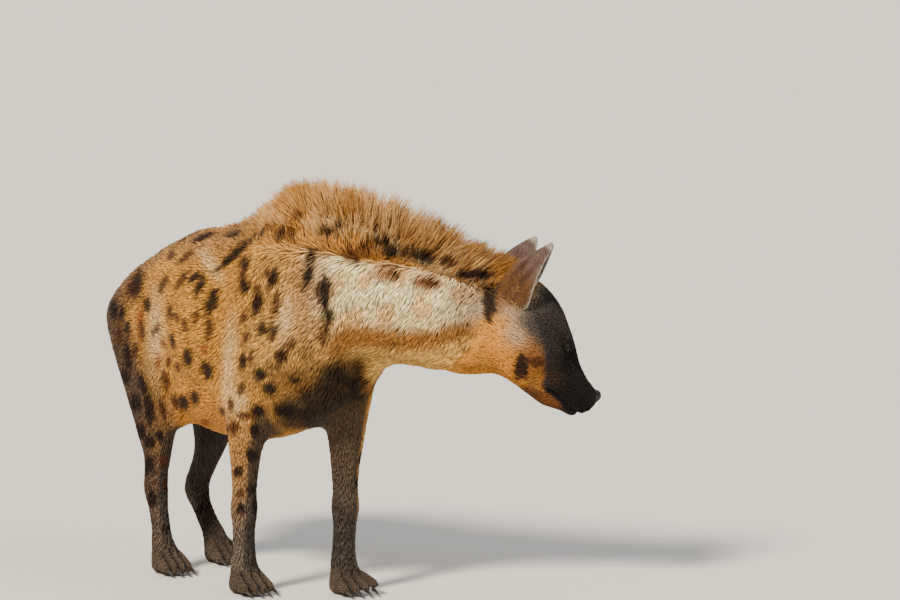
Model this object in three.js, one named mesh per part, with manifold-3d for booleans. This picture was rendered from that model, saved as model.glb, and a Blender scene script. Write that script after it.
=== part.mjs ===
// Spotted hyena, adult, standing in mid-stride with its neck bent to its left and its head lowered.
// Millimetres, +Z up, +X forwards, +Y to the animal's left. Each named mesh is one piece of the animal.
import * as THREE from "three";
import { mergeVertices } from "three/addons/utils/BufferGeometryUtils.js";
import Module from "manifold-3d";

const wasm = await Module();
wasm.setup();

// Driving dimensions
const EAR_LENGTH = 138;
const EYE_RADIUS = 12.5;
const MANE_LENGTH = 86;
const TAIL_LENGTH = 290;
const TOE_SPREAD = 21;
const PIECE_GAP = 0.3;
const RIGHT = -1;
const LEFT = 1;

const vec = (x, y, z) => new THREE.Vector3(x, y, z);
const sideName = (side) => (side === LEFT ? "_left" : "_right");
const onSide = (v, side) => vec(v.x, v.y * side, v.z);
const mix = (a, b, t) => a + (b - a) * t;
const clamp01 = (t) => Math.min(Math.max(t, 0), 1);
const degrees = THREE.MathUtils.degToRad;

// Colours and finish of the animal's surfaces
function surface(colour, roughness) {
  return new THREE.MeshStandardMaterial({ color: colour, roughness, metalness: 0 });
}
const COAT = surface(0xb98f5c, 0.95);
const MANE_COAT = surface(0xa9855a, 0.95);
const FACE_COAT = surface(0x6b5240, 0.9);
const EAR_COAT = surface(0x86664a, 0.9);
const LEG_COAT = surface(0x8d755c, 0.95);
const TAIL_COAT = surface(0x5a4636, 0.95);
const NOSE_LEATHER = surface(0x1c1816, 0.5);
const EYE_BROWN = surface(0x24140c, 0.08);
const CLAW_HORN = surface(0x2b2622, 0.45);

// Distance shapes. Each is a function that gives a point's distance to its surface, negative inside.
function smoothMin(a, b, blend) {
  const near = Math.max(blend - Math.abs(a - b), 0) / blend;
  return Math.min(a, b) - (near * near * blend) / 4;
}

// A rounded muscle or bone mass: an ellipsoid with its own turn
function mass(at, radii, turn = [0, 0, 0]) {
  const back = new THREE.Quaternion().setFromEuler(new THREE.Euler(...turn.map(degrees), "ZYX")).invert();
  const q = vec(0, 0, 0);
  return (p) => {
    q.copy(p).sub(at).applyQuaternion(back);
    const near = Math.hypot(q.x / radii.x, q.y / radii.y, q.z / radii.z);
    const slope = Math.hypot(q.x / radii.x ** 2, q.y / radii.y ** 2, q.z / radii.z ** 2);
    return slope < 1e-9 ? -radii.y : (near * (near - 1)) / slope;
  };
}

// A length of limb between two joints, with a radius at each end, narrowed sideways by flat
function limb(from, to, fromRadius, toRadius, flat = 1) {
  const squeeze = (v) => vec(v.x, v.y / flat, v.z);
  const start = squeeze(from);
  const run = squeeze(to).sub(start);
  return (p) => {
    const q = squeeze(p).sub(start);
    const t = clamp01(q.dot(run) / run.lengthSq());
    return q.addScaledVector(run, -t).length() - mix(fromRadius, toRadius, t);
  };
}

// A tube round a smooth centre line. Each station gives a centre, and the half width, height above and depth
// below it there.
function tube(stations, endLength) {
  const curve = new THREE.CatmullRomCurve3(stations.map((s) => s.at));
  const steps = stations.length * 12;
  const places = Array.from({ length: steps + 1 }, (_, i) => curve.getPoint(i / steps));
  const girth = (key, t) => {
    const at = t * (stations.length - 1);
    const low = Math.min(Math.floor(at), stations.length - 2);
    const nearby = (n) => stations[Math.min(Math.max(low + n, 0), stations.length - 1)][key];
    const [a, b, c, d] = [-1, 0, 1, 2].map(nearby);
    const share = at - low;
    const bend = (d - a + 3 * (b - c)) * share + 2 * a - 5 * b + 4 * c - d;
    return b + 0.5 * share * (c - a + share * bend);
  };
  return (p) => {
    let best = 0;
    let least = Infinity;
    places.forEach((place, i) => {
      const away = place.distanceToSquared(p);
      if (away < least) {
        least = away;
        best = i;
      }
    });
    const from = Math.max(best - 1, 0);
    const to = Math.min(best + 1, steps);
    const run = places[to].clone().sub(places[from]);
    const share = p.clone().sub(places[from]).dot(run) / run.lengthSq();
    const t = mix(from, to, clamp01(share)) / steps;
    const centre = places[from].clone().addScaledVector(run, clamp01(share));
    const along = run.normalize();
    const up = vec(0, 0, 1).addScaledVector(along, -along.z).normalize();
    const left = up.clone().cross(along);
    const off = p.clone().sub(centre);
    const across = off.dot(left) / girth("wide", t);
    const rise = off.dot(up);
    const tall = rise / girth(rise > 0 ? "above" : "below", t);
    const reach = Math.hypot(across, tall, off.dot(along) / endLength);
    return reach < 1e-6 ? -girth("wide", t) : off.length() * (1 - 1 / reach);
  };
}

// Pieces blended into one shape, each with the width of its blend
function blendOf(pieces) {
  return (p) => pieces.reduce((d, [shape, blend]) => smoothMin(d, shape(p), blend), Infinity);
}

// Joints and stance: where each leg's joints are, before they are mirrored to their side
const STANCE = {
  foreleg_right: {
    side: RIGHT,
    scapula: vec(214, 78, 640),
    shoulder: vec(280, 96, 520),
    elbow: vec(172, 96, 430),
    carpus: vec(154, 92, 178),
    fetlock: vec(148, 90, 62),
    paw: vec(160, 90, 0),
  },
  foreleg_left: {
    side: LEFT,
    scapula: vec(226, 78, 636),
    shoulder: vec(318, 102, 512),
    elbow: vec(244, 98, 432),
    carpus: vec(262, 88, 182),
    fetlock: vec(260, 84, 62),
    paw: vec(274, 84, 0),
  },
  hindleg_right: {
    side: RIGHT,
    hip: vec(-298, 58, 540),
    knee: vec(-178, 98, 396),
    hock: vec(-214, 92, 174),
    fetlock: vec(-188, 90, 58),
    paw: vec(-170, 90, 0),
  },
  hindleg_left: {
    side: LEFT,
    hip: vec(-302, 58, 540),
    knee: vec(-224, 98, 384),
    hock: vec(-352, 84, 144),
    fetlock: vec(-268, 82, 54),
    paw: vec(-242, 82, 0),
  },
};

// Trunk and neck: one bent tube from the rump to the skull
const station = (x, y, z, wide, above, below) => ({ at: vec(x, y, z), wide, above, below });
const SPINE = [
  station(-372, 0, 556, 56, 84, 82),
  station(-335, 0, 550, 82, 132, 108),
  station(-265, 0, 536, 106, 176, 140),
  station(-175, 0, 520, 130, 219, 184),
  station(-80, 0, 512, 146, 232, 208),
  station(20, 0, 514, 150, 243, 212),
  station(110, 0, 530, 140, 238, 218),
  station(190, 0, 560, 124, 228, 218),
  station(262, 4, 600, 108, 200, 212),
  station(318, 26, 626, 96, 166, 158),
  station(362, 66, 628, 88, 142, 124),
  station(396, 118, 620, 84, 124, 122),
  station(422, 178, 606, 80, 112, 124),
  station(443, 240, 592, 78, 104, 124),
  station(461, 302, 580, 76, 97, 118),
  station(474, 340, 574, 70, 88, 104),
];
const trunk = tube(SPINE, 46);

// Head, in its own frame: x to the nose, z to the crown, with its origin between the ears
const HEAD_YAW = degrees(72);
const HEAD_PITCH = degrees(46);
const HEAD_ORIGIN = vec(478, 352, 618);
const headPlace = new THREE.Matrix4()
  .makeRotationFromEuler(new THREE.Euler(0, HEAD_PITCH, HEAD_YAW, "ZYX"))
  .setPosition(HEAD_ORIGIN);
const headBack = headPlace.clone().invert();
const inHead = (x, y, z) => vec(x, y, z).applyMatrix4(headPlace);
const headWay = (x, y, z) => vec(x, y, z).transformDirection(headPlace);

const SKULL = [
  station(-8, 0, -14, 66, 84, 84),
  station(40, 0, -22, 72, 92, 94),
  station(84, 0, -28, 74, 92, 92),
  station(118, 0, -33, 70, 86, 86),
  station(152, 0, -38, 54, 76, 76),
  station(196, 0, -44, 41, 60, 62),
  station(232, 0, -44, 38, 52, 52),
  station(258, 0, -41, 34, 43, 42),
];
function bothSides(at, radii, [roll, pitch, yaw], blend) {
  const onOne = (side) => mass(onSide(at, side), radii, [roll * side, pitch, yaw * side]);
  return [RIGHT, LEFT].map((side) => [onOne(side), blend]);
}
const headMasses = blendOf([
  [tube(SKULL, 18), 1],
  [mass(vec(44, 0, 58), vec(60, 14, 18)), 20],
  ...bothSides(vec(122, 58, -14), vec(46, 20, 16), [0, 8, -22], 18),
  ...bothSides(vec(78, 52, -54), vec(50, 28, 48), [0, 0, 0], 24),
  ...bothSides(vec(138, 38, 26), vec(24, 14, 12), [0, 20, -15], 14),
  ...bothSides(vec(-10, 48, 36), vec(30, 22, 28), [0, 0, 0], 20),
  ...bothSides(vec(242, 21, -42), vec(32, 19, 26), [0, 0, 0], 12),
  [limb(vec(96, 40, -96), vec(236, 17, -80), 20, 13), 14],
  [limb(vec(96, -40, -96), vec(236, -17, -80), 20, 13), 14],
  [mass(vec(246, 0, -80), vec(24, 21, 12)), 12],
  [mass(vec(268, 0, -10), vec(15, 21, 15)), 8],
]);
const headField = (p) => headMasses(p.clone().applyMatrix4(headBack));

// Legs, with each joint mirrored to its side
const LEGS = {};
for (const [name, { side, ...joints }] of Object.entries(STANCE)) {
  LEGS[name] = { side };
  for (const [joint, place] of Object.entries(joints)) LEGS[name][joint] = onSide(place, side);
}
const shifted = (v, x, y, z) => vec(v.x + x, v.y + y, v.z + z);
const mixed = (a, b, t) => a.clone().lerp(b, t);

function foreMasses({ side, scapula, shoulder, elbow, carpus, fetlock }) {
  return [
    [mass(scapula, vec(62, 44, 128), [0, 24, 0]), 50],
    [limb(shoulder, elbow, 68, 56, 0.72), 40],
    [limb(shifted(elbow, -30, 0, 24), elbow, 32, 28, 0.8), 24],
    [limb(elbow, carpus, 53, 29, 0.8), 30],
    [limb(shifted(elbow, 18, 4 * side, -24), shifted(elbow, 6, 4 * side, -110), 50, 35, 0.8), 26],
    [mass(carpus, vec(31, 28, 32)), 16],
    [limb(carpus, fetlock, 27, 28, 0.94), 16],
  ];
}

function hindMasses({ side, hip, knee, hock, fetlock }) {
  const seat = shifted(hip, -66, 16 * Math.sign(hip.y), -18);
  const hamstring = shifted(mixed(knee, hock, 0.42), -28, 0, 0);
  return [
    [mass(hip, vec(88, 52, 84), [0, 30, 0]), 44],
    [limb(hip, knee, 92, 60, 0.6), 44],
    [limb(seat, hamstring, 62, 44, 0.76), 36],
    [limb(knee, hock, 54, 27, 0.76), 26],
    [limb(shifted(hock, -24, 0, 14), mixed(hock, knee, 0.4), 13, 17), 22],
    [mass(hock, vec(29, 23, 30)), 16],
    [limb(hock, fetlock, 25, 26, 0.9), 16],
  ];
}

// Paws: four toes side by side, a pad behind them and the end of the leg above
const TOE_PLACES = [-1.5, -0.5, 0.5, 1.5];
const toeTip = (paw, n, long, wide) => vec(paw.x + long - 7 * Math.abs(n), paw.y + n * TOE_SPREAD * wide, 15);
function pawMasses({ fetlock, paw, long, wide }) {
  const toes = TOE_PLACES.map((n) => {
    const tip = toeTip(paw, n, long, wide);
    return [limb(vec(paw.x + 4, mix(paw.y, tip.y, 0.8), 34), tip, 17, 14), 7];
  });
  return [
    [limb(fetlock, vec(paw.x - 8, paw.y, 28), 28, 26, 1.05 * wide), 14],
    [mass(vec(paw.x - 6, paw.y, 22), vec(38, 34 * wide, 25)), 14],
    [mass(vec(paw.x - 24, paw.y, 10), vec(22, 25 * wide, 14)), 12],
    ...toes,
  ];
}
const FORE_TOES = { long: 54, wide: 1 };
const HIND_TOES = { long: 50, wide: 0.88 };
for (const leg of Object.values(LEGS)) {
  Object.assign(leg, leg.hip ? HIND_TOES : FORE_TOES);
  leg.masses = [...(leg.hip ? hindMasses(leg) : foreMasses(leg)), ...pawMasses(leg)];
}

// The whole animal's surface
const everything = blendOf([[trunk, 1], ...Object.values(LEGS).flatMap((leg) => leg.masses)]);
const flesh = (p) => smoothMin(everything(p), headField(p), 30);

// Shells: rays are cast from a centre line to where a field's surface is, in rings that end in rounded caps
function castShell({ line, rings, sides, caps, field, reach, top = vec(0, 0, 1) }) {
  const rows = [];
  const cast = (from, way) => {
    const step = reach / 48;
    let far = step;
    while (far < reach && field(from.clone().addScaledVector(way, far)) < 0) far += step;
    let near = far - step;
    far = Math.min(far, reach);
    for (let i = 0; i < 12; i++) {
      const middle = (near + far) / 2;
      if (field(from.clone().addScaledVector(way, middle)) < 0) near = middle;
      else far = middle;
    }
    return from.clone().addScaledVector(way, near);
  };
  const ring = (t, tilt) => {
    const from = line.getPoint(t);
    const along = line.getTangent(t);
    const up = top.clone().addScaledVector(along, -top.dot(along)).normalize();
    const across = along.clone().cross(up);
    return Array.from({ length: sides }, (_, j) => {
      const turn = (2 * Math.PI * (j + 0.5)) / sides;
      const way = up.clone().multiplyScalar(Math.cos(turn)).addScaledVector(across, Math.sin(turn));
      way.multiplyScalar(Math.cos(tilt)).addScaledVector(along, Math.sin(tilt));
      return cast(from, way);
    });
  };
  for (let k = caps[0]; k > 0; k--) rows.push(ring(0, (-Math.PI / 2) * (k / (caps[0] + 1))));
  for (let i = 0; i <= rings; i++) rows.push(ring(i / rings, 0));
  for (let k = 1; k <= caps[1]; k++) rows.push(ring(1, (Math.PI / 2) * (k / (caps[1] + 1))));
  const start = cast(line.getPoint(0), line.getTangent(0).negate());
  const end = cast(line.getPoint(1), line.getTangent(1));
  return closeRows(rows, [start, end]);
}

// Joins rows of points into one closed surface with a pole at each end
function closeRows(rows, poles) {
  const sides = rows[0].length;
  const points = [...rows.flat(), ...poles];
  const faces = [];
  const at = (i, j) => i * sides + (j % sides);
  const last = rows.length - 1;
  for (let i = 0; i < last; i++)
    for (let j = 0; j < sides; j++) {
      const [a, b, c, d] = [at(i, j), at(i, j + 1), at(i + 1, j + 1), at(i + 1, j)];
      const steep = points[a].distanceTo(points[c]) > points[b].distanceTo(points[d]);
      faces.push(...(steep ? [a, b, d, b, c, d] : [a, b, c, a, c, d]));
    }
  for (let j = 0; j < sides; j++) {
    faces.push(points.length - 2, at(0, j + 1), at(0, j));
    faces.push(points.length - 1, at(last, j), at(last, j + 1));
  }
  return solidFrom(new Float32Array(points.flatMap((p) => [p.x, p.y, p.z])), new Uint32Array(faces));
}

function solidFrom(vertProperties, triVerts) {
  return new wasm.Manifold(new wasm.Mesh({ numProp: 3, vertProperties, triVerts }));
}

// A three.js geometry as a solid, in place
function solidOf(geometry, place = new THREE.Matrix4()) {
  const bare = geometry.clone().applyMatrix4(place);
  bare.deleteAttribute("normal");
  bare.deleteAttribute("uv");
  const merged = mergeVertices(bare, 1e-3);
  return solidFrom(new Float32Array(merged.attributes.position.array), new Uint32Array(merged.index.array));
}

// A flat-faced block whose top face is at a place and faces along a direction
function block(at, facing, size = [2000, 2000, 2000]) {
  const z = facing.clone().normalize();
  const level = Math.abs(z.x) > 0.8 ? vec(0, 1, 0) : vec(1, 0, 0);
  const x = level.clone().addScaledVector(z, -level.dot(z)).normalize();
  const turn = new THREE.Matrix4().makeBasis(x, z.clone().cross(x), z);
  const centre = at.clone().addScaledVector(z, -size[2] / 2);
  return solidOf(new THREE.BoxGeometry(...size), turn.setPosition(centre));
}
const farSide = (solid, at, facing) =>
  solid.subtract(block(at.clone().addScaledVector(facing.clone().normalize(), PIECE_GAP / 2), facing));
const nearSide = (solid, at, facing) => farSide(solid, at, facing.clone().negate());

// A node keeps its largest closed surface
function largest(solid) {
  return solid.decompose().reduce((best, piece) => (piece.volume() > best.volume() ? piece : best));
}

const hyena = new THREE.Group();
function addNode(name, solid, material) {
  const mesh = largest(solid).getMesh();
  const geometry = new THREE.BufferGeometry();
  const places = new Float32Array(mesh.numVert * 3);
  for (let i = 0; i < mesh.numVert; i++)
    places.set(mesh.vertProperties.subarray(i * mesh.numProp, i * mesh.numProp + 3), i * 3);
  geometry.setAttribute("position", new THREE.BufferAttribute(places, 3));
  geometry.setIndex(new THREE.BufferAttribute(new Uint32Array(mesh.triVerts), 1));
  geometry.computeVertexNormals();
  const node = new THREE.Mesh(geometry, material);
  node.name = name;
  hyena.add(node);
}

const straight = (from, to) => new THREE.LineCurve3(from, to);
const smooth = (...points) => new THREE.CatmullRomCurve3(points);

// Where the pieces part: each place has a point and the way out towards the further piece
const part = (at, out) => ({ at, out: out.normalize() });
const NECK_PART = part(vec(332, 36, 628), vec(0.78, 0.58, 0.22));
const HEAD_PART = part(inHead(-56, 0, 0), headWay(1, 0, 0.3));
const TAIL_PART = part(vec(-396, 0, 596), vec(-1, 0, 0.3));
const TAIL_ROOT_SIZE = 92;
const beyond = ({ at, out }) => (p) => out.dot(p.clone().sub(at));
const before = (place) => (p) => -beyond(place)(p);

// A leg parts from the trunk in a wedge under a face that slants down from the outside to the armpit or
// groin. Each wedge has its rear, its front at the top and at the bottom, and the heights of its top inside
// and outside.
const WEDGES = {
  foreleg_right: { rear: 96, front: [254, 222], inside: 42, heights: [384, 474] },
  foreleg_left: { rear: 158, front: [326, 292], inside: 42, heights: [384, 474] },
  hindleg_right: { rear: -470, front: [-102, -136], inside: 34, heights: [366, 486] },
  hindleg_left: { rear: -470, front: [-136, -176], inside: 34, heights: [366, 486] },
};
const WEDGE_OUTSIDE = 150;
const WEDGE_FLOOR = 276;
function wedgeTop({ inside, heights }, across) {
  return mix(...heights, (across - inside) / (WEDGE_OUTSIDE - inside));
}
function wedgeFront({ front, heights }, z) {
  return mix(front[1], front[0], (z - WEDGE_FLOOR) / (heights[0] - WEDGE_FLOOR));
}
function wedgeSolid(wedge, side, grow) {
  const box = new THREE.BoxGeometry(1, 1, 1);
  const corners = box.attributes.position;
  for (let i = 0; i < corners.count; i++) {
    const across = corners.getY(i) * side < 0 ? wedge.inside - grow : WEDGE_OUTSIDE + 80;
    const high = corners.getZ(i) < 0 ? WEDGE_FLOOR : wedgeTop(wedge, across) + grow;
    const along = corners.getX(i) < 0 ? wedge.rear - grow : wedgeFront(wedge, high) + grow;
    corners.setXYZ(i, along, across * side, high);
  }
  return solidOf(box);
}
// Rays stop a little past a parting face, which then trims the shell exactly
const OVERRUN = 2;
function kept(field, ...limits) {
  return (p) => limits.reduce((d, limit) => Math.max(d, limit(p) - OVERRUN), field(p));
}

// A closed spindle round a line: size gives its half width across and half height at each place along it
function spindle({ line, rings, sides, size, top = vec(0, 0, 1) }) {
  const rows = Array.from({ length: rings + 1 }, (_, i) => {
    const t = (i + 0.5) / (rings + 1);
    const from = line.getPoint(t);
    const along = line.getTangent(t);
    const up = top.clone().addScaledVector(along, -top.dot(along)).normalize();
    const across = along.clone().cross(up);
    const [wide, tall] = size(t);
    return Array.from({ length: sides }, (_, j) => {
      const turn = (2 * Math.PI * (j + 0.5)) / sides;
      const place = from.clone().addScaledVector(up, tall * Math.cos(turn));
      return place.addScaledVector(across, wide * Math.sin(turn));
    });
  });
  return closeRows(rows, [line.getPoint(0), line.getPoint(1)]);
}
const between = (t, ...values) => {
  const at = clamp01(t) * (values.length - 1);
  const low = Math.min(Math.floor(at), values.length - 2);
  return mix(values[low], values[low + 1], at - low);
};

// A seeded draw, the same on every run
function seeded(seed) {
  let state = seed;
  return (low, high) => {
    state = (state * 1664525 + 1013904223) % 4294967296;
    return mix(low, high, state / 4294967296);
  };
}

// A lock of long hair: flat, curved and tapered. It rises along up, bends over along lean by the share bend
// of its length, and has its root sunk below the point it grows from.
function lock({ root, up, lean, bend, length, wide, thick, sink }) {
  const along = (rise, over) => root.clone().addScaledVector(up, rise).addScaledVector(lean, over);
  const tip = along(length * (1 - 0.3 * Math.abs(bend)), length * bend);
  const line = new THREE.QuadraticBezierCurve3(along(-sink, 0), along(length * 0.5, 0), tip);
  const size = (t) => [thick * between(t, 1, 1, 0.9, 0.66, 0.24), wide * between(t, 0.8, 1, 0.92, 0.66, 0.2)];
  return spindle({ line, rings: 3, sides: 3, size, top: lean });
}

// Mane: a low crest along the top of the spine from the withers to between the ears, set with rows of locks
const MANE_START = 5;
const CREST_SHARE = 0.45;
const CREST_SINK = 38;
const MANE_SHARES = [0.1, 0.38, 0.62, 0.72, 0.8, 0.9, 0.92, 0.86, 0.74, 0.6, 0.42];
const maneHeight = (t) => MANE_LENGTH * between(t, ...MANE_SHARES);
const maneStations = SPINE.slice(MANE_START).map(({ at, above }, i, all) => {
  const height = CREST_SHARE * maneHeight(i / (all.length - 1));
  return { at: shifted(at, 0, 0, above - CREST_SINK), wide: 46, above: CREST_SINK + height, below: 60 };
});
const maneLine = smooth(...maneStations.map((s) => s.at));
const crestField = tube(maneStations, 30);
const crest = castShell({ line: maneLine, rings: 18, sides: 6, caps: [1, 1], field: crestField, reach: 130 });

const MANE_ROWS = [-24, 0, 24];
const LOCKS_A_ROW = 18;
const maneBend = (t) => between(t, -0.62, -0.52, -0.36, -0.14, 0.2, 0.42, 0.54, 0.58, 0.6);
function maneLocks() {
  const draw = seeded(41);
  return MANE_ROWS.flatMap((offset, row) =>
    Array.from({ length: LOCKS_A_ROW }, (_, i) => {
      const t = (i + 0.7 + (row % 2) * 0.5 + draw(-0.2, 0.2)) / (LOCKS_A_ROW + 1);
      const along = maneLine.getTangent(t);
      const up = vec(0, 0, 1).addScaledVector(along, -along.z).normalize();
      const side = up.clone().cross(along).multiplyScalar(Math.sign(offset));
      const root = maneLine.getPoint(t).addScaledVector(up, CREST_SINK + (row === 1 ? 8 : 2));
      root.addScaledVector(side, Math.abs(offset));
      const length = maneHeight(t) * draw(0.98, 1.18) * (row === 1 ? 1 : 0.84);
      const rise = up.addScaledVector(side, row === 1 ? draw(-0.12, 0.12) : 0.3).normalize();
      const bend = maneBend(t) + draw(-0.08, 0.08);
      return lock({ root, up: rise, lean: along, bend, length, wide: draw(23, 28), thick: 4.6, sink: 16 });
    }),
  );
}
const mane = wasm.Manifold.union([crest, ...maneLocks()]);
const manePieces = {
  torso: nearSide(mane, NECK_PART.at, NECK_PART.out),
  neck: nearSide(farSide(mane, NECK_PART.at, NECK_PART.out), HEAD_PART.at, HEAD_PART.out),
  head: farSide(mane, HEAD_PART.at, HEAD_PART.out),
};

// Torso
const CHEST_FLOOR = 280;
const torsoLine = smooth(...SPINE.slice(0, 12).map((s) => s.at));
const torsoField = (p) => Math.max(flesh(p), CHEST_FLOOR - p.z);
let torso = castShell({ line: torsoLine, rings: 26, sides: 30, caps: [4, 1], field: torsoField, reach: 330 });
const tailSeat = TAIL_PART.at.clone().addScaledVector(TAIL_PART.out, 60 - PIECE_GAP / 2);
torso = torso.subtract(block(tailSeat, TAIL_PART.out, [TAIL_ROOT_SIZE, TAIL_ROOT_SIZE, 60]));
torso = nearSide(torso, NECK_PART.at, NECK_PART.out);
const legRooms = Object.entries(LEGS).map(([name, leg]) => wedgeSolid(WEDGES[name], leg.side, PIECE_GAP / 2));
const clearOfLegs = (solid) => legRooms.reduce((rest, room) => rest.subtract(room), solid);
addNode("torso", clearOfLegs(torso).add(manePieces.torso), COAT);

// Neck
const neckLine = smooth(...SPINE.slice(8, 16).map((s) => s.at));
let neck = castShell({ line: neckLine, rings: 14, sides: 26, caps: [1, 1], field: flesh, reach: 260 });
neck = nearSide(farSide(neck, NECK_PART.at, NECK_PART.out), HEAD_PART.at, HEAD_PART.out);
addNode("neck", clearOfLegs(neck).add(manePieces.neck), MANE_COAT);

// Head: the skull with its flesh
const headLine = straight(inHead(-80, 0, -28), inHead(252, 0, -40));
let head = castShell({ line: headLine, rings: 22, sides: 26, caps: [1, 3], field: flesh, reach: 170 });
head = farSide(head, HEAD_PART.at, HEAD_PART.out).add(manePieces.head);
const skin = (from, way) => {
  let [near, far] = [0, 160];
  for (let i = 0; i < 20; i++) {
    const middle = (near + far) / 2;
    if (headMasses(from.clone().addScaledVector(way, middle)) < 0) near = middle;
    else far = middle;
  }
  return from.clone().addScaledVector(way, near);
};
const onHead = (solid) => solid.transform(headPlace.elements);

// Ears: a leaf with a cup in its front, parted from its root on the head by a slanted face
const EAR_LINE = [vec(-22, 40, 0), vec(-24, 54, 42), vec(-26, 64, 88), vec(-30, 68, EAR_LENGTH)];
const EAR_PART = part(vec(-24, 56, 44), vec(-0.02, 0.3, 0.95));
for (const side of [RIGHT, LEFT]) {
  const line = smooth(...EAR_LINE.map((v) => onSide(v, side)));
  const size = (t) => [between(t, 34, 39, 38, 33, 26, 16, 4), between(t, 24, 27, 26, 22, 16, 9, 2)];
  const leaf = spindle({ line, rings: 9, sides: 12, size, top: vec(0, 1, 0) });
  const ahead = (v, x) => onSide(shifted(v, x, 3, 0), side);
  const cupLine = smooth(ahead(EAR_LINE[1], 12), ahead(EAR_LINE[2], 11), ahead(EAR_LINE[3], 6));
  const cupSize = (t) => [between(t, 14, 31, 29, 21, 12, 2), between(t, 12, 20, 19, 14, 8, 2)];
  const cup = spindle({ line: cupLine, rings: 7, sides: 10, size: cupSize, top: vec(0, 1, 0) });
  const face = { at: onSide(EAR_PART.at, side), out: onSide(EAR_PART.out, side) };
  const root = nearSide(leaf, face.at, face.out);
  const clearingTop = face.at.clone().addScaledVector(face.out, 60 - PIECE_GAP / 2);
  const clearing = block(clearingTop, face.out, [84, 58, 60]);
  head = head.subtract(onHead(clearing)).add(onHead(root));
  addNode("ear" + sideName(side), onHead(farSide(leaf.subtract(cup), face.at, face.out)), EAR_COAT);
}

// Eyes, each in a socket between two lids
const EYE_FROM = vec(146, 0, -6);
const GAZE = vec(0.42, 0.86, 0.2).normalize();
const LID_THICKNESS = 3.2;
const placedAt = (at) => new THREE.Matrix4().setPosition(at);
const ball = (at, radius) => solidOf(new THREE.IcosahedronGeometry(radius, 2), placedAt(at));
for (const side of [RIGHT, LEFT]) {
  const gaze = onSide(GAZE, side);
  const socket = skin(EYE_FROM, onSide(vec(0, 0.9, 0.35).normalize(), side));
  const at = socket.addScaledVector(gaze, -EYE_RADIUS * 0.62);
  const lids = ball(at, EYE_RADIUS + LID_THICKNESS);
  const ahead = straight(at, at.clone().addScaledVector(gaze, 30));
  const slit = spindle({ line: ahead, rings: 2, sides: 10, size: () => [12.5, 7.5], top: vec(0.1, 0, 1) });
  head = head.add(onHead(lids)).subtract(onHead(slit)).subtract(onHead(ball(at, EYE_RADIUS + PIECE_GAP)));
  const eye = solidOf(new THREE.IcosahedronGeometry(EYE_RADIUS, 1), placedAt(at));
  addNode("eye" + sideName(side), onHead(eye), EYE_BROWN);
}

// Nose leather with its nostrils
const NOSE_SIZE = vec(17, 23, 17);
const NOSE_AT = vec(272, 0, -10);
const egg = (at, radii, detail) =>
  solidOf(new THREE.IcosahedronGeometry(1, detail), new THREE.Matrix4().makeScale(...radii).setPosition(at));
const noseBlock = (grow) =>
  block(vec(296, 0, -9), vec(1, 0, 0.24), [2 * (NOSE_SIZE.y + 4 + grow), 40 + 2 * grow, 26 + grow]);
head = head.subtract(onHead(noseBlock(PIECE_GAP)));
let nose = egg(NOSE_AT, NOSE_SIZE, 2).intersect(noseBlock(0));
for (const side of [RIGHT, LEFT]) {
  nose = nose.subtract(egg(vec(287, 9.5 * side, -11), vec(8, 4.6, 5.4), 1));
  nose = nose.subtract(egg(vec(282, 19 * side, -17), vec(8, 6, 2), 1));
}
addNode("nose", onHead(nose), NOSE_LEATHER);

// Line of the mouth: a groove from one corner round the front of the muzzle to the other
const lipPlace = (x, turn, z) => skin(vec(x, 0, z), vec(Math.cos(turn), Math.sin(turn), 0));
const LIP_STOPS = [
  [178, 90, -76],
  [196, 90, -68],
  [220, 90, -66],
  [240, 85, -69],
  [250, 55, -68],
  [252, 25, -64],
];
const lipSide = (side) => LIP_STOPS.map(([x, turn, z]) => lipPlace(x, degrees(turn) * side, z));
const lipLine = smooth(...lipSide(RIGHT), lipPlace(252, 0, -60), ...lipSide(LEFT).reverse());
const groove = spindle({ line: lipLine, rings: 18, sides: 4, size: () => [2.6, 2.4], top: vec(0, 0, 1) });
head = head.subtract(onHead(groove));
addNode("head", head, FACE_COAT);

// Tail, hanging close behind the thighs and ending in a brush
const TAIL_LINE = [
  vec(-360, 0, 602),
  vec(-416, 0, 592),
  vec(-446, 3, 530),
  vec(-446, 7, 455),
  vec(-436, 10, 590 - TAIL_LENGTH),
];
const tailRadius = (t) => between(t, 30, 28, 22, 17, 15, 15, 15, 12, 6);
const tailLine = smooth(...TAIL_LINE);
const tailCore = spindle({
  line: tailLine,
  rings: 12,
  sides: 8,
  size: (t) => [tailRadius(t), tailRadius(t)],
  top: vec(1, 0, 0),
});
const BRUSH_TIERS = [0.52, 0.68, 0.84];
function brushLocks() {
  const draw = seeded(7);
  return BRUSH_TIERS.flatMap((t, tier) =>
    Array.from({ length: 5 }, (_, i) => {
      const turn = (2 * Math.PI * (i + tier * 0.5)) / 5;
      const out = vec(Math.cos(turn), Math.sin(turn), 0);
      const along = tailLine.getTangent(t);
      const root = tailLine.getPoint(t).addScaledVector(out, tailRadius(t) * 0.6);
      const length = Math.min(draw(66, 80), (1 - t) * TAIL_LENGTH + 22);
      const up = along.clone().addScaledVector(out, 0.34).normalize();
      const lean = along.clone().addScaledVector(out, -0.1).normalize();
      return lock({ root, up, lean, bend: 0.4, length: length * 0.8, wide: 5, thick: 11, sink: 8 });
    }),
  );
}
const tail = wasm.Manifold.union([tailCore, ...brushLocks()]);
addNode("tail", farSide(tail, TAIL_PART.at, TAIL_PART.out), TAIL_COAT);

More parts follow.
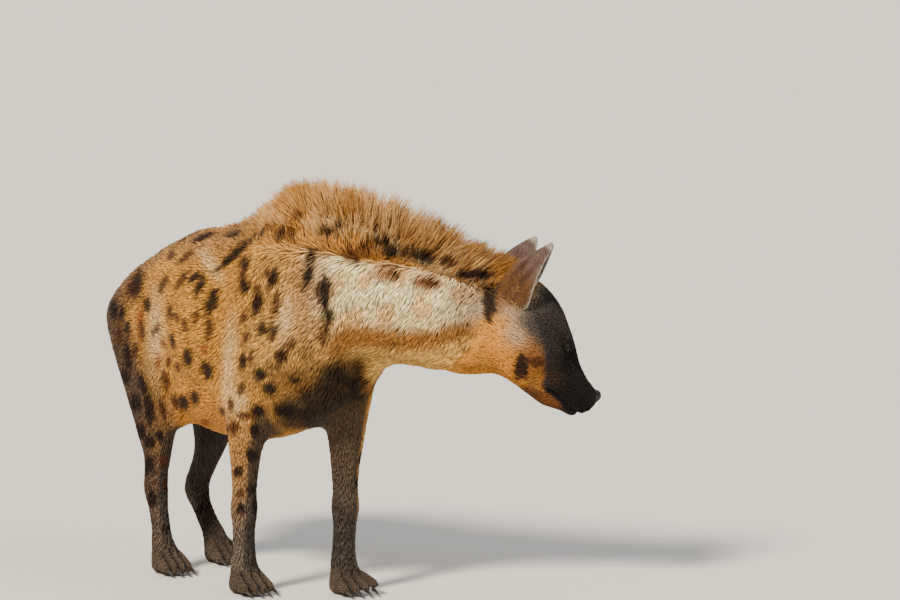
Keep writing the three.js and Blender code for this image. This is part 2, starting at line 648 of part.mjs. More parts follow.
// Legs, paws and claws. The paw is parted from the leg by a level face, and each claw from its toe by an
// upright one.
const ANKLE_HEIGHT = 52;
const CLAW_LENGTH = 20;
for (const [name, leg] of Object.entries(LEGS)) {
  const own = blendOf([[trunk, 1], ...leg.masses]);
  const wedge = WEDGES[name];
  const [rootX, rootY] = leg.hip ? [leg.knee.x - 76, 84] : [leg.elbow.x + 4, 98];
  const root = vec(rootX, rootY * leg.side, wedgeTop(wedge, rootY) - 16);
  const middle = leg.hip ? [leg.knee, leg.hock] : [leg.elbow, leg.carpus];
  const line = smooth(root, mixed(...middle, 0.36), mixed(...middle, 0.7), middle[1], leg.fetlock.clone());
  const ankle = part(vec(0, 0, ANKLE_HEIGHT), vec(0, 0, -1));
  const legField = kept(own, beyond(ankle));
  const legShape = { rings: 17, sides: 16, caps: [3, 1], reach: 190, top: vec(1, 0, 0) };
  let shell = castShell({ line, field: legField, ...legShape });
  const room = wedgeSolid(wedge, leg.side, -PIECE_GAP / 2).add(block(vec(0, 0, WEDGE_FLOOR), vec(0, 0, 1)));
  shell = nearSide(shell.intersect(room), ankle.at, ankle.out);
  addNode(name, shell, LEG_COAT);

  const pawLine = straight(vec(leg.paw.x - 20, leg.paw.y, 20), vec(leg.paw.x + 34, leg.paw.y, 15));
  const pawRays = kept(own, before(ankle), (p) => -p.z);
  let paw = castShell({ line: pawLine, rings: 7, sides: 20, caps: [2, 3], field: pawRays, reach: 90 });
  paw = nearSide(farSide(paw, ankle.at, ankle.out), vec(0, 0, -PIECE_GAP / 2), vec(0, 0, -1));
  const pawName = name.replace("leg", "paw");
  TOE_PLACES.forEach((n, i) => {
    const root = toeTip(leg.paw, n, leg.long, leg.wide).add(vec(11, 0, 3));
    paw = paw.subtract(block(shifted(root, 30, 0, 0), vec(1, 0, 0), [12, 12, 30]));
    const along = [[-4, 1], [CLAW_LENGTH * 0.5, -3], [CLAW_LENGTH, -13]];
    const clawBend = along.map(([ahead, rise]) => shifted(root, ahead, 0, rise));
    const clawSize = (t) => [between(t, 4, 3.6, 0.6), between(t, 4.6, 4.2, 0.6)];
    const claw = spindle({ line: smooth(...clawBend), rings: 2, sides: 4, size: clawSize });
    const outside = farSide(claw, shifted(root, PIECE_GAP / 2, 0, 0), vec(1, 0, 0));
    addNode(`${pawName}_claw_${i + 1}`, outside, CLAW_HORN);
  });
  addNode(pawName, paw, LEG_COAT);
}

// The origin is on the floor, under the middle of the animal
const extent = new THREE.Box3().setFromObject(hyena);
hyena.position.set(-(extent.min.x + extent.max.x) / 2, -(extent.min.y + extent.max.y) / 2, 0);

export default hyena;
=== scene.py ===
"""A spotted hyena, dressed round its solids: one skin, a coat of mesh tufts, a mane, eyes, nose and claws."""

import math

import bpy
import numpy as np
from mathutils import Euler, Matrix, Vector
from mathutils.bvhtree import BVHTree
from mathutils.kdtree import KDTree


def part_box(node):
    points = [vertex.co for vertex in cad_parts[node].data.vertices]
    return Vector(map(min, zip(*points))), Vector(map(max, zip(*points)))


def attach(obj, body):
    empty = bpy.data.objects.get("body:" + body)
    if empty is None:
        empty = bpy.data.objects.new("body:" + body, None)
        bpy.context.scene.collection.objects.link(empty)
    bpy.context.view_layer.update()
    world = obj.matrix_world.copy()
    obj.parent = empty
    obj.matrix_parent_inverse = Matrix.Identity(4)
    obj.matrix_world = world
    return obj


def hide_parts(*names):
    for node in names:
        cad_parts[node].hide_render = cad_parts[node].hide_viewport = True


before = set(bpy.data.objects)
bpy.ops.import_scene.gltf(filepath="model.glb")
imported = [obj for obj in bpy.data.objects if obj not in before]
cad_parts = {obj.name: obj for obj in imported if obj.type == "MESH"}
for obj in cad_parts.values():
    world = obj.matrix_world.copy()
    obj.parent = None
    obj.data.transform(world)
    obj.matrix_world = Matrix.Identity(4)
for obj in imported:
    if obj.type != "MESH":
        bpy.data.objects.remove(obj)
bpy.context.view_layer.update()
draw = np.random.default_rng(20)

# Parts of the animal that the one skin stands for
SIDES = {"right": -1, "left": 1}
PAWS = [f"{end}paw_{side}" for end in ("fore", "hind") for side in SIDES]
LEGS = [f"{end}leg_{side}" for end in ("fore", "hind") for side in SIDES]
FLESH = ["torso", "neck", "head", "tail", *LEGS, *PAWS]
EARS = ["ear_right", "ear_left"]
REGIONS = ["torso", "neck", "head", "tail", "leg", "paw", "ear"]
TORSO, NECK, HEAD, TAIL, LEG, _, EAR = range(len(REGIONS))

# The animal's own frame: x forwards, y to the left, z up. The forepaws say where it lies.
FOREPAW_MIDDLE = 0.1687
FOREPAWS_ACROSS = -0.0030


def middle_of(node):
    low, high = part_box(node)
    return np.array((low + high) / 2)


forepaws_across = (middle_of("forepaw_right")[1] + middle_of("forepaw_left")[1]) / 2
ORIGIN = np.array([middle_of("forepaw_right")[0] - FOREPAW_MIDDLE, forepaws_across - FOREPAWS_ACROSS, 0])

# The head's frame: x to the nose, y to the left, z to the crown, from a point between the ears
HEAD_AT = ORIGIN + [0.478, 0.352, 0.618]
HEAD_TURN = np.array(Euler((0, math.radians(46), math.radians(72)), "XYZ").to_matrix())

# Middle line of the trunk and neck, from the tail's root to the skull, in the animal's frame
SPINE = np.array([
    (-0.372, 0, 0.556),
    (-0.265, 0, 0.536),
    (-0.080, 0, 0.512),
    (0.110, 0, 0.530),
    (0.190, 0, 0.560),
    (0.262, 0.004, 0.600),
    (0.318, 0.026, 0.626),
    (0.362, 0.066, 0.628),
    (0.396, 0.118, 0.620),
    (0.422, 0.178, 0.606),
    (0.443, 0.240, 0.592),
    (0.461, 0.302, 0.580),
    (0.474, 0.340, 0.574),
])
STATIONS = range(len(SPINE))

# The coat: how deep it is on each region, and the lengths and widths of its tufts
COAT_DEPTH = np.array([0.0080, 0.0085, 0.0026, 0.0070, 0.0044, 0.0024, 0.0008])
TUFT_LENGTH = np.array([0.0280, 0.0320, 0.0100, 0.0340, 0.0180, 0.0105, 0.0085])
TUFT_WIDTH = np.array([0.0032, 0.0032, 0.0019, 0.0034, 0.0028, 0.0024, 0.0018])
TUFTS_A_SQUARE_METRE = np.array([58e3, 60e3, 165e3, 30e3, 80e3, 105e3, 170e3])


def srgb(code):
    """A colour written as six hex digits, as linear red, green and blue."""
    parts = np.array([int(code[i:i + 2], 16) for i in (0, 2, 4)]) / 255
    return np.where(parts <= 0.04045, parts / 12.92, ((parts + 0.055) / 1.055) ** 2.4)


# Colours of the coat
GOLDEN = srgb("d2963c")
SHOULDER_TAN = srgb("c89650")
BACK_BROWN = srgb("9a7350")
BELLY_GOLD = srgb("de9434")
# Brown of the rump and hind legs, darkened with painted shade
RUMP_BROWN_AND_SHADE = srgb("6c523c")
CREAM = srgb("fbe4b2")
NECK_GREY = srgb("917b6a")
THROAT_BROWN = srgb("a56f30")
# Golden throat fur, brightened with painted light on the neck's underside
THROAT_GOLD_AND_LIGHT = srgb("e8b866")
# Dark chest fur with painted shade, between the forelegs and under the neck
CHEST_DARK_AND_SHADE = srgb("130b06")
LEG_TAN = srgb("b5844a")
LEG_GREY = srgb("685a4e")
# Painted shade for the legs' inner and front sides and the clefts between the toes
LEG_SHADE = srgb("37322e")
# Dark brown of the lower hind legs, darkened further with painted shade
HOCK_BROWN_AND_SHADE = srgb("45372b")
PAW_BROWN = srgb("54463a")
FOREHEAD = srgb("413c39")
FACE_DARK = srgb("2d2827")
CHEEK = srgb("774a22")
CHEEK_PALE = srgb("a39079")
EAR_ROOT = srgb("774f29")
JAW_GOLD = srgb("c68632")
MUZZLE = srgb("161312")
MUZZLE_BROWN = srgb("3a2416")
LIDS = srgb("100c0b")
JAW_RED = srgb("6f421c")
EAR_TAN = srgb("6c4828")
EAR_ROSE = srgb("705a52")
EAR_RIM = srgb("c4b6a4")
EAR_INSIDE = srgb("2a2423")
EAR_STREAK = srgb("503527")
MANE_GOLD = srgb("ae7630")
MANE_TIP = srgb("d6ac72")
TAIL_TAN = srgb("8d7250")
TAIL_BLACK = srgb("1f1914")


def smoothstep(low, high, value):
    t = np.clip((value - low) / (high - low), 0, 1)
    return t * t * (3 - 2 * t)


def bump(middle, width, value):
    return np.exp(-((value - middle) / width) ** 2)


def dot(one, other):
    return np.einsum("ij,ij->i", one, other)


def unit(vectors):
    return vectors / np.maximum(np.linalg.norm(vectors, axis=-1, keepdims=True), 1e-9)


def square_to(vectors, normals_there):
    """The part of each vector that is square to a unit normal, made a unit."""
    return unit(vectors - normals_there * dot(vectors, normals_there)[:, None])


def to_head(points):
    """Points of the frame in the head's own frame."""
    return (points - HEAD_AT) @ HEAD_TURN


def from_head(points):
    return np.asarray(points) @ HEAD_TURN.T + HEAD_AT


def select_only(*objects):
    bpy.ops.object.select_all(action="DESELECT")
    for obj in objects:
        obj.select_set(True)
    bpy.context.view_layer.objects.active = objects[0]


def apply(obj, kind, **settings):
    """Adds a modifier and applies it."""
    modifier = obj.modifiers.new(kind.lower(), kind)
    for key, value in settings.items():
        setattr(modifier, key, value)
    select_only(obj)
    bpy.ops.object.modifier_apply(modifier=modifier.name)


def new_object(name, mesh):
    obj = bpy.data.objects.new(name, mesh)
    bpy.context.scene.collection.objects.link(obj)
    return obj


def join(objects):
    select_only(*objects)
    bpy.ops.object.join()
    return objects[0]


def joined_copy(names, name):
    """One loose object that holds copies of these nodes."""
    copies = [new_object(name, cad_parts[node].data.copy()) for node in names]
    joined = join(copies)
    joined.data.materials.clear()
    return joined


# How many times deeper than wanted a volume's values are worked out
BAND = 1.6


def deep_inside(obj, depth, voxel):
    """Replaces a closed shape by the surface that lies this deep inside it."""
    group = bpy.data.node_groups.new("deep_inside", "GeometryNodeTree")
    group.interface.new_socket("Geometry", in_out="INPUT", socket_type="NodeSocketGeometry")
    group.interface.new_socket("Geometry", in_out="OUTPUT", socket_type="NodeSocketGeometry")
    volume = group.nodes.new("GeometryNodeMeshToVolume")
    volume.resolution_mode = "VOXEL_SIZE"
    volume.inputs["Voxel Size"].default_value = voxel
    volume.inputs["Interior Band Width"].default_value = depth * BAND
    surface = group.nodes.new("GeometryNodeVolumeToMesh")
    surface.resolution_mode = "VOXEL_SIZE"
    surface.inputs["Voxel Size"].default_value = voxel
    surface.inputs["Threshold"].default_value = 1 / BAND
    group.links.new(group.nodes.new("NodeGroupInput").outputs[0], volume.inputs[0])
    group.links.new(volume.outputs[0], surface.inputs[0])
    group.links.new(surface.outputs[0], group.nodes.new("NodeGroupOutput").inputs[0])
    modifier = obj.modifiers.new("inside", "NODES")
    modifier.node_group = group
    select_only(obj)
    bpy.ops.object.modifier_apply(modifier=modifier.name)
    bpy.data.node_groups.remove(group)


def read(items, field, size=3, kind=float):
    """One field of all the items of a mesh, a row to each."""
    found = np.empty(len(items) * size, kind)
    items.foreach_get(field, found)
    return found.reshape(-1, size)


def places(mesh):
    return read(mesh.vertices, "co")


def normals(mesh):
    return read(mesh.vertex_normals, "vector")


def set_places(mesh, found):
    mesh.vertices.foreach_set("co", np.ascontiguousarray(found, float).ravel())
    mesh.update()


def smooth(mesh):
    mesh.polygons.foreach_set("use_smooth", np.ones(len(mesh.polygons), bool))


def paint_corners(mesh, colours):
    """Stores a colour for each vertex, which the fur and the underfur read."""
    painted = np.ones((len(colours), 4))
    painted[:, :3] = colours
    mesh.attributes.new("coat_colour", "FLOAT_COLOR", "POINT").data.foreach_set("color", painted.ravel())


def edit_all(obj, operator, **settings):
    """Runs one edit-mode operator on the whole of an object."""
    select_only(obj)
    bpy.ops.object.mode_set(mode="EDIT")
    bpy.ops.mesh.select_all(action="SELECT")
    operator(**settings)
    bpy.ops.object.mode_set(mode="OBJECT")


def relax(mesh, values, rounds, held=0.0):
    """Moves each vertex's values towards its neighbours' mean, less where they are held."""
    ends = read(mesh.edges, "vertices", 2, int)
    count = np.maximum(np.bincount(ends.ravel(), minlength=len(values)), 1)[:, None]
    pull = 0.5 * (1 - np.broadcast_to(held, len(values)))[:, None]
    for _ in range(rounds):
        total = np.stack([
            np.bincount(ends[:, 0], column[ends[:, 1]], len(values))
            + np.bincount(ends[:, 1], column[ends[:, 0]], len(values))
            for column in values.T
        ], axis=1)
        values = values + pull * (total / count - values)
    return values


def refine(obj, wanted):
    """Divides in four the faces whose middles are wanted."""
    select_only(obj)
    bpy.ops.object.mode_set(mode="EDIT")
    bpy.ops.mesh.select_mode(type="FACE")
    bpy.ops.mesh.select_all(action="DESELECT")
    bpy.ops.object.mode_set(mode="OBJECT")
    obj.data.polygons.foreach_set("select", wanted(read(obj.data.polygons, "center")))
    bpy.ops.object.mode_set(mode="EDIT")
    bpy.ops.mesh.subdivide(number_cuts=1)
    bpy.ops.object.mode_set(mode="OBJECT")


# A ripple is so many waves laid over each other, scaled down by so much
WAVES = 7
WAVES_HIGH = 2.6


def ripple(at, size, seed):
    """A smooth random swell between about -1 and 1, this many metres from crest to crest."""
    dice = np.random.default_rng(seed)
    total = np.zeros(len(at))
    for _ in range(WAVES):
        way = unit(dice.normal(size=3)) * 2 * math.pi / (size * dice.uniform(0.7, 1.5))
        total += np.sin(at @ way + dice.uniform(0, 2 * math.pi))
    return total / WAVES_HIGH


def over_stations(values, station):
    """Values given for each station of the spine, read between the stations."""
    return np.stack([np.interp(station, STATIONS, values[:, axis]) for axis in range(3)], axis=1)


def spine_way(station):
    return unit(over_stations(unit(np.gradient(SPINE, axis=0)), station))


def along_spine(at):
    """The nearest station of the spine, as a number between stations, and the spine's direction there."""
    body = at - ORIGIN
    best = np.full(len(body), np.inf)
    station = np.zeros(len(body))
    for index in STATIONS[:-1]:
        step = SPINE[index + 1] - SPINE[index]
        share = np.clip((body - SPINE[index]) @ step / (step @ step), 0, 1)
        gap = np.linalg.norm(body - SPINE[index] - share[:, None] * step, axis=1)
        nearer = gap < best
        best[nearer] = gap[nearer]
        station[nearer] = index + share[nearer]
    return station, spine_way(station)


# Places on the head, in its own frame: the eyes, the line of the mouth (how far along, how high) and the nose
EYES = {side: to_head(middle_of("eye_" + side)) for side in SIDES}
EYE_RADIUS = 0.0125
GAZE = unit(np.array([0.42, 0.86, 0.20]))
LID_THICKNESS = 0.0018
LID_RIM = 0.0014
BROW = 0.0018
UNDER_EYE = 0.0035
EYE_SLIT = (0.78, 0.33)
LIPS_ALONG = [0.160, 0.178, 0.196, 0.220, 0.240, 0.252, 0.290]
LIPS_HIGH = [-0.084, -0.076, -0.068, -0.066, -0.069, -0.066, -0.056]
NOSE_MIDDLE = np.array([0.2745, 0, -0.012])
NOSE_RADII = np.array([0.013, 0.021, 0.0155])
MUZZLE_MIDDLE = np.array([0.260, 0, -0.030])
MUZZLE_RADII = np.array([0.031, 0.034, 0.034])


def eye_gap(head):
    return np.minimum(*[np.linalg.norm(head - eye, axis=1) for eye in EYES.values()])


def over_lips(head):
    """How far each place lies above the line of the mouth."""
    return head[:, 2] - np.interp(head[:, 0], LIPS_ALONG, LIPS_HIGH)


def eye_ways(side):
    """The directions out of the eye, towards its front corner, and up."""
    out = GAZE * [1, SIDES[side], 1]
    slant = np.array([1, 0, -0.42])
    front = unit(slant - out * (slant @ out))
    return out, front, np.cross(front, out) * -SIDES[side]


def sculpt_eyes(head):
    """Lids that lie on the eyeball, parted by a slit."""
    for side, centre in EYES.items():
        out, front, up = eye_ways(side)
        away = head - centre
        reach = np.linalg.norm(away, axis=1)
        way = unit(away)
        opening = np.hypot(way @ front / EYE_SLIT[0], way @ up / EYE_SLIT[1])
        lid = EYE_RADIUS + LID_THICKNESS + LID_RIM * bump(1.25, 0.2, opening) + BROW * np.maximum(way @ up, 0)
        hold = (1 - smoothstep(1.5, 2.1, opening)) * (1 - smoothstep(0.026, 0.036, reach))
        hold *= way @ out > -0.15
        wanted = EYE_RADIUS - UNDER_EYE + (lid + UNDER_EYE - EYE_RADIUS) * smoothstep(0.86, 1.12, opening)
        head = head + way * ((wanted - reach) * hold)[:, None]
    return head


def sculpt_mouth(head, out):
    """A groove between the lips, with the upper lip a little proud."""
    over = over_lips(head)
    along = smoothstep(0.166, 0.182, head[:, 0]) * (head[:, 0] < 0.31)
    outside = np.abs(out[:, 1]) + np.maximum(out[:, 0], 0) > 0.45
    depth = -0.0042 * bump(0, 0.0024, over) + 0.0016 * bump(0.0065, 0.004, over)
    return head + out * (depth * along * outside)[:, None]


def toe_clefts(at):
    """How far each place lies in a cleft between two toes, halfway between their claws, from 0 to 1."""
    share = np.zeros(len(at))
    for paw in PAWS:
        claws = [middle_of(f"{paw}_claw_{number}") for number in range(1, 5)]
        for one, other in zip(claws, claws[1:]):
            middle = (one + other) / 2
            ahead = smoothstep(middle[0] - 0.068, middle[0] - 0.036, at[:, 0]) * (at[:, 0] < middle[0] + 0.02)
            near = np.abs(at[:, 1] - middle[1]) < 0.015
            share = np.maximum(share, bump(middle[1], 0.0044, at[:, 1]) * ahead * near * (at[:, 2] < 0.052))
    return share


# The skin's voxels, and how far notches are filled and locks are worn away to find it
VOXEL = 0.0052
SKIN_VOXEL = 0.0067
CLOSING = 0.009
OPENING = 0.012
# Where the head's own solid takes over from the smoothed body, the toe clefts' depth and the chin's rise
HEAD_CUT = -0.050
CLEFT_DEPTH = 0.0105
CHIN_RISE = 0.012
# Where the skin is divided finer: the face and paws, and again round the eyes and lids
FACE_FROM = -0.030
PAWS_UNDER = 0.052
EYE_SOCKET = 0.030
LIDS_WITHIN = 0.021


def build_skin():
    """The animal without its mane, with the head and the paws kept sharp, and sunk by the coat's depth."""
    skin = joined_copy(FLESH, "skin")
    apply(skin, "REMESH", mode="VOXEL", voxel_size=VOXEL)
    apply(skin, "DISPLACE", strength=CLOSING, mid_level=0)
    apply(skin, "REMESH", mode="VOXEL", voxel_size=VOXEL)
    deep_inside(skin, CLOSING + OPENING, VOXEL)
    set_places(skin.data, relax(skin.data, places(skin.data), 4))
    apply(skin, "DISPLACE", strength=OPENING, mid_level=0)
    head = joined_copy(["head"], "head_front")
    edit_all(
        head, bpy.ops.mesh.bisect, plane_co=from_head([HEAD_CUT, 0, 0]), plane_no=HEAD_TURN[:, 0],
        use_fill=True, clear_inner=True,
    )
    bpy.ops.mesh.primitive_ico_sphere_add(subdivisions=4, radius=1, location=(0, 0, 0))
    muzzle = bpy.context.object
    set_places(muzzle.data, from_head(MUZZLE_MIDDLE + places(muzzle.data) * MUZZLE_RADII))
    skin = join([skin, joined_copy(PAWS, "paws"), head, muzzle])
    apply(skin, "REMESH", mode="VOXEL", voxel_size=SKIN_VOXEL)

    mesh = skin.data
    at = places(mesh)
    front = smoothstep(-0.02, 0.04, to_head(at)[:, 0])
    low = 1 - smoothstep(0.05, 0.08, at[:, 2])
    set_places(mesh, relax(mesh, at, 8, held=np.maximum(front * 0.85, low * 0.6)))
    at = places(mesh) - normals(mesh) * (region_shares(mesh) @ COAT_DEPTH)[:, None]
    at[:, 2] = np.maximum(at[:, 2], 0.0004)
    set_places(mesh, at)

    refine(skin, lambda at: (to_head(at)[:, 0] > FACE_FROM) | (at[:, 2] < PAWS_UNDER))
    at = places(mesh)
    front = smoothstep(-0.05, -0.01, to_head(at)[:, 0])
    low = 1 - smoothstep(0.045, 0.06, at[:, 2])
    set_places(mesh, relax(mesh, at, 6, held=1 - np.maximum(front, low * 0.5)))
    at = places(mesh)
    set_places(mesh, at - normals(mesh) * (CLEFT_DEPTH * toe_clefts(at))[:, None])

    def near_details(at):
        head = to_head(at)
        return (eye_gap(head) < EYE_SOCKET) | ((np.abs(over_lips(head)) < 0.010) & (head[:, 0] > 0.165))

    refine(skin, near_details)
    refine(skin, lambda at: eye_gap(to_head(at)) < LIDS_WITHIN)
    front = smoothstep(0.05, 0.09, to_head(places(mesh))[:, 0])
    set_places(mesh, relax(mesh, places(mesh), 2, held=1 - front))
    head = to_head(places(mesh))
    head[:, 2] += CHIN_RISE * smoothstep(0.20, 0.25, head[:, 0]) * smoothstep(0.055, 0.100, -head[:, 2])
    set_places(mesh, from_head(head))
    head = sculpt_mouth(head, normals(mesh) @ HEAD_TURN)
    set_places(mesh, from_head(sculpt_eyes(head)))
    return skin


# An ear is a leaf bent to a cup that opens forwards. Its outer rim runs down to the cheek, its inner rim to
# the crown. Each line goes from the root to the tip, in the head's frame, for the left side.
EAR_OUTER_RIM = np.array([(11, 60, -16), (21, 76, 8), (0, 83, 40), (-20, 81, 84), (-31, 71, 134)]) / 1000
EAR_INNER_RIM = np.array([(14, 30, 40), (8, 36, 60), (1, 42, 82), (-14, 54, 110), (-29, 64, 136)]) / 1000
EAR_BACK = np.array([(-46, 44, -22), (-57, 58, 16), (-59, 64, 52), (-51, 68, 94), (-37, 68, 138)]) / 1000
EAR_ACROSS = 26
EAR_UP = 40
EAR_THICKNESS = 0.0036
EAR_EASE = 12


def ear_sheet(side):
    """The middle of the ear's leaf, row by row from the root, each from the outer rim to the inner one."""
    up = np.linspace(0, 1, EAR_UP)
    stops = np.linspace(0, 1, len(EAR_BACK))
    outer, inner, back = (
        np.stack([np.interp(up, stops, line[:, axis]) for axis in range(3)], axis=1)
        for line in (EAR_OUTER_RIM, EAR_INNER_RIM, EAR_BACK)
    )
    pull = 2 * back - (outer + inner) / 2
    u = np.linspace(0, 1, EAR_ACROSS)[None, :, None]
    rows = outer[:, None] * (1 - u) ** 2 + 2 * pull[:, None] * u * (1 - u) + inner[:, None] * u ** 2
    for _ in range(EAR_EASE):
        rows[1:-1] += 0.5 * ((rows[2:] + rows[:-2]) / 2 - rows[1:-1])
    return rows * [1, SIDES[side], 1]


def build_ear(side):
    rows = ear_sheet(side)
    index = np.arange(EAR_UP * EAR_ACROSS).reshape(EAR_UP, EAR_ACROSS)
    faces = np.stack([index[:-1, :-1], index[:-1, 1:], index[1:, 1:], index[1:, :-1]], axis=-1).reshape(-1, 4)
    mesh = bpy.data.meshes.new("ear")
    mesh.from_pydata(from_head(rows.reshape(-1, 3)).tolist(), [], faces.tolist())
    ear = new_object("ear", mesh)
    apply(ear, "SOLIDIFY", thickness=EAR_THICKNESS, offset=0, use_even_offset=True)
    edit_all(ear, bpy.ops.mesh.normals_make_consistent, inside=False)
    return ear


def place_tree(corners):
    tree = KDTree(len(corners))
    for index, place in enumerate(corners):
        tree.insert(place, index)
    tree.balance()
    return tree


flesh_corners = [v.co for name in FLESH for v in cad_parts[name].data.vertices]
flesh_regions = [
    next(index for index, region in enumerate(REGIONS) if region in name)
    for name in FLESH
    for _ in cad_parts[name].data.vertices
]
flesh_tree = place_tree(flesh_corners)
ear_leaves = [from_head(ear_sheet(side)[3:].reshape(-1, 3)) for side in SIDES]
ear_tree = place_tree(np.concatenate(ear_leaves).tolist())
EAR_NEAR = 0.0045


def region_shares(mesh, ears=False):
    """How much each vertex belongs to each region, fading over the joins."""
    shares = np.zeros((len(mesh.vertices), len(REGIONS)))
    for index, vertex in enumerate(mesh.vertices):
        shares[index, flesh_regions[flesh_tree.find(vertex.co)[1]]] = 1
    shares = relax(mesh, shares, 12)
    if ears:
        near = np.array([ear_tree.find(vertex.co)[2] for vertex in mesh.vertices])
        on_ear = relax(mesh, (near < EAR_NEAR).astype(float)[:, None], 2)
        shares *= 1 - on_ear
        shares[:, [EAR]] += on_ear
    return shares


skin = build_skin()
for side in SIDES:
    ear = build_ear(side)
    apply(skin, "BOOLEAN", operation="UNION", object=ear, solver="MANIFOLD")
    bpy.data.objects.remove(ear)
skin_mesh = skin.data
skin_mesh.materials.clear()
smooth(skin_mesh)
edit_all(skin, bpy.ops.uv.smart_project, angle_limit=math.radians(66), island_margin=0.003)
skin_mesh.uv_layers.active.name = "OFBake"
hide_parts(*FLESH, *EARS)
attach(skin, "root")

# The skin as numbers: corners, normals, regions, triangles and their places on the unwrap
skin_at = places(skin_mesh)
skin_out = normals(skin_mesh)
skin_shares = region_shares(skin_mesh, ears=True)
skin_mesh.calc_loop_triangles()
skin_faces = read(skin_mesh.loop_triangles, "vertices", 3, np.int32)
face_loops = read(skin_mesh.loop_triangles, "loops", 3, np.int32)
face_uv = read(skin_mesh.uv_layers["OFBake"].data, "uv", 2)[face_loops]
skin_tree = BVHTree.FromPolygons(skin_at.tolist(), skin_faces.tolist())
corner_a, corner_b, corner_c = (skin_at[skin_faces[:, index]] for index in range(3))
face_areas = np.linalg.norm(np.cross(corner_b - corner_a, corner_c - corner_a), axis=1) / 2

# Camera at the photograph's angle
CAMERA_AZIMUTH = math.radians(58)
CAMERA_HEIGHT = math.radians(6.5)
CAMERA_AWAY = 15.0
CAMERA_TARGET = ORIGIN + [0.228, 0.365, 0.593]
CAMERA_LENS = 287
CAMERA_SIGHT = 60
PICTURE = (900, 600)
FILM_WIDTH = 36
PIXEL = CAMERA_AWAY * FILM_WIDTH / CAMERA_LENS / PICTURE[0]


def way_to(azimuth, height):
    """The direction that rises by this height and turns by this azimuth from the animal's right."""
    flat = math.cos(height)
    return Vector((math.sin(azimuth) * flat, -math.cos(azimuth) * flat, math.sin(height)))


back = way_to(CAMERA_AZIMUTH, CAMERA_HEIGHT)
camera_turn = back.to_track_quat("Z", "Y")
camera_at = Vector(CAMERA_TARGET) + back * CAMERA_AWAY
bpy.ops.object.camera_add(location=camera_at, rotation=camera_turn.to_euler())
camera = bpy.context.object
camera.data.lens = CAMERA_LENS
camera.data.clip_end = CAMERA_SIGHT
bpy.context.scene.camera = camera
TO_CAMERA = np.array(back)
TO_RIGHT = np.array(camera_turn @ Vector((1, 0, 0)))
TO_TOP = np.array(camera_turn @ Vector((0, 1, 0)))


def seen_at(across, down):
    """The place that the photograph shows at this pixel: on the skin, or over it in the mane."""
    right = (across - PICTURE[0] / 2) * PIXEL
    up = (PICTURE[1] / 2 - down) * PIXEL
    way = Vector(unit(TO_RIGHT * right + TO_TOP * up - TO_CAMERA * CAMERA_AWAY))
    place = skin_tree.ray_cast(camera_at, way)[0]
    if place is None:
        nearest = skin_tree.find_nearest(camera_at + way * CAMERA_AWAY)[0]
        place = camera_at + way * (nearest - camera_at).dot(way)
    return np.array(place)


# Kinds of marks: their colour, how much they cover, and where their edge begins and ends
BLACK, BROWN, RUST, PALE, GOLD, GREY, UMBER_AND_SHADE = range(7)
KINDS = [
    (srgb("221006"), 0.97, 0.66, 1.20),
    (srgb("4c260e"), 0.90, 0.56, 1.22),
    (srgb("8c4614"), 0.82, 0.45, 1.30),
    (srgb("f0d6a2"), 0.62, 0.05, 1.30),
    (srgb("c08538"), 0.50, 0.05, 1.30),
    (srgb("927b69"), 0.42, 0.05, 1.30),
    # Umber: dark brown, used as painted shade over the rump and thigh
    (srgb("463629"), 0.66, 0.10, 1.30),
]

# Marks read off the photograph: pixel across and down, width, height, turn to the right in degrees, kind
SHADES = [
    (156, 335, 20, 90, 0, PALE), (229, 362, 16, 100, 4, PALE), (286, 318, 18, 50, 0, PALE),
    # The pale mark across the back at (212, 266) is a painted sheen
    (238, 400, 22, 34, 0, PALE), (212, 266, 44, 14, 55, PALE), (268, 218, 30, 18, -30, PALE),
    (235, 285, 30, 50, 0, GOLD), (196, 366, 50, 56, 0, GOLD), (280, 386, 60, 24, -10, GOLD),
    (204, 412, 56, 34, 10, GOLD), (312, 292, 40, 90, 8, GREY), (466, 300, 44, 44, 0, GREY),
    # The two umber marks lie on the rump and thigh as painted shade over greyish-brown fur
    (122, 345, 28, 80, -10, UMBER_AND_SHADE), (148, 415, 56, 130, -8, UMBER_AND_SHADE),
]
BACK_MARKS = [
    (236, 253, 8, 50, 48, BLACK), (204, 237, 6, 24, 68, BLACK), (234, 234, 6, 16, 75, BLACK),
    (180, 233, 5, 24, 76, BROWN), (172, 255, 8, 11, 20, BROWN), (185, 258, 6, 20, 50, BROWN),
    (245, 264, 10, 15, 10, BLACK), (243, 277, 8, 20, 5, BROWN), (245, 287, 10, 13, 0, BLACK),
    (182, 280, 7, 22, 36, BROWN), (195, 277, 6, 15, 50, BLACK), (200, 286, 8, 23, 28, BLACK),
    (164, 284, 7, 20, 25, BROWN), (281, 235, 10, 17, 40, BLACK), (291, 235, 9, 11, 20, BROWN),
    (298, 215, 10, 9, 0, BROWN), (327, 231, 14, 10, 0, BLACK), (339, 225, 10, 10, 0, BLACK),
]
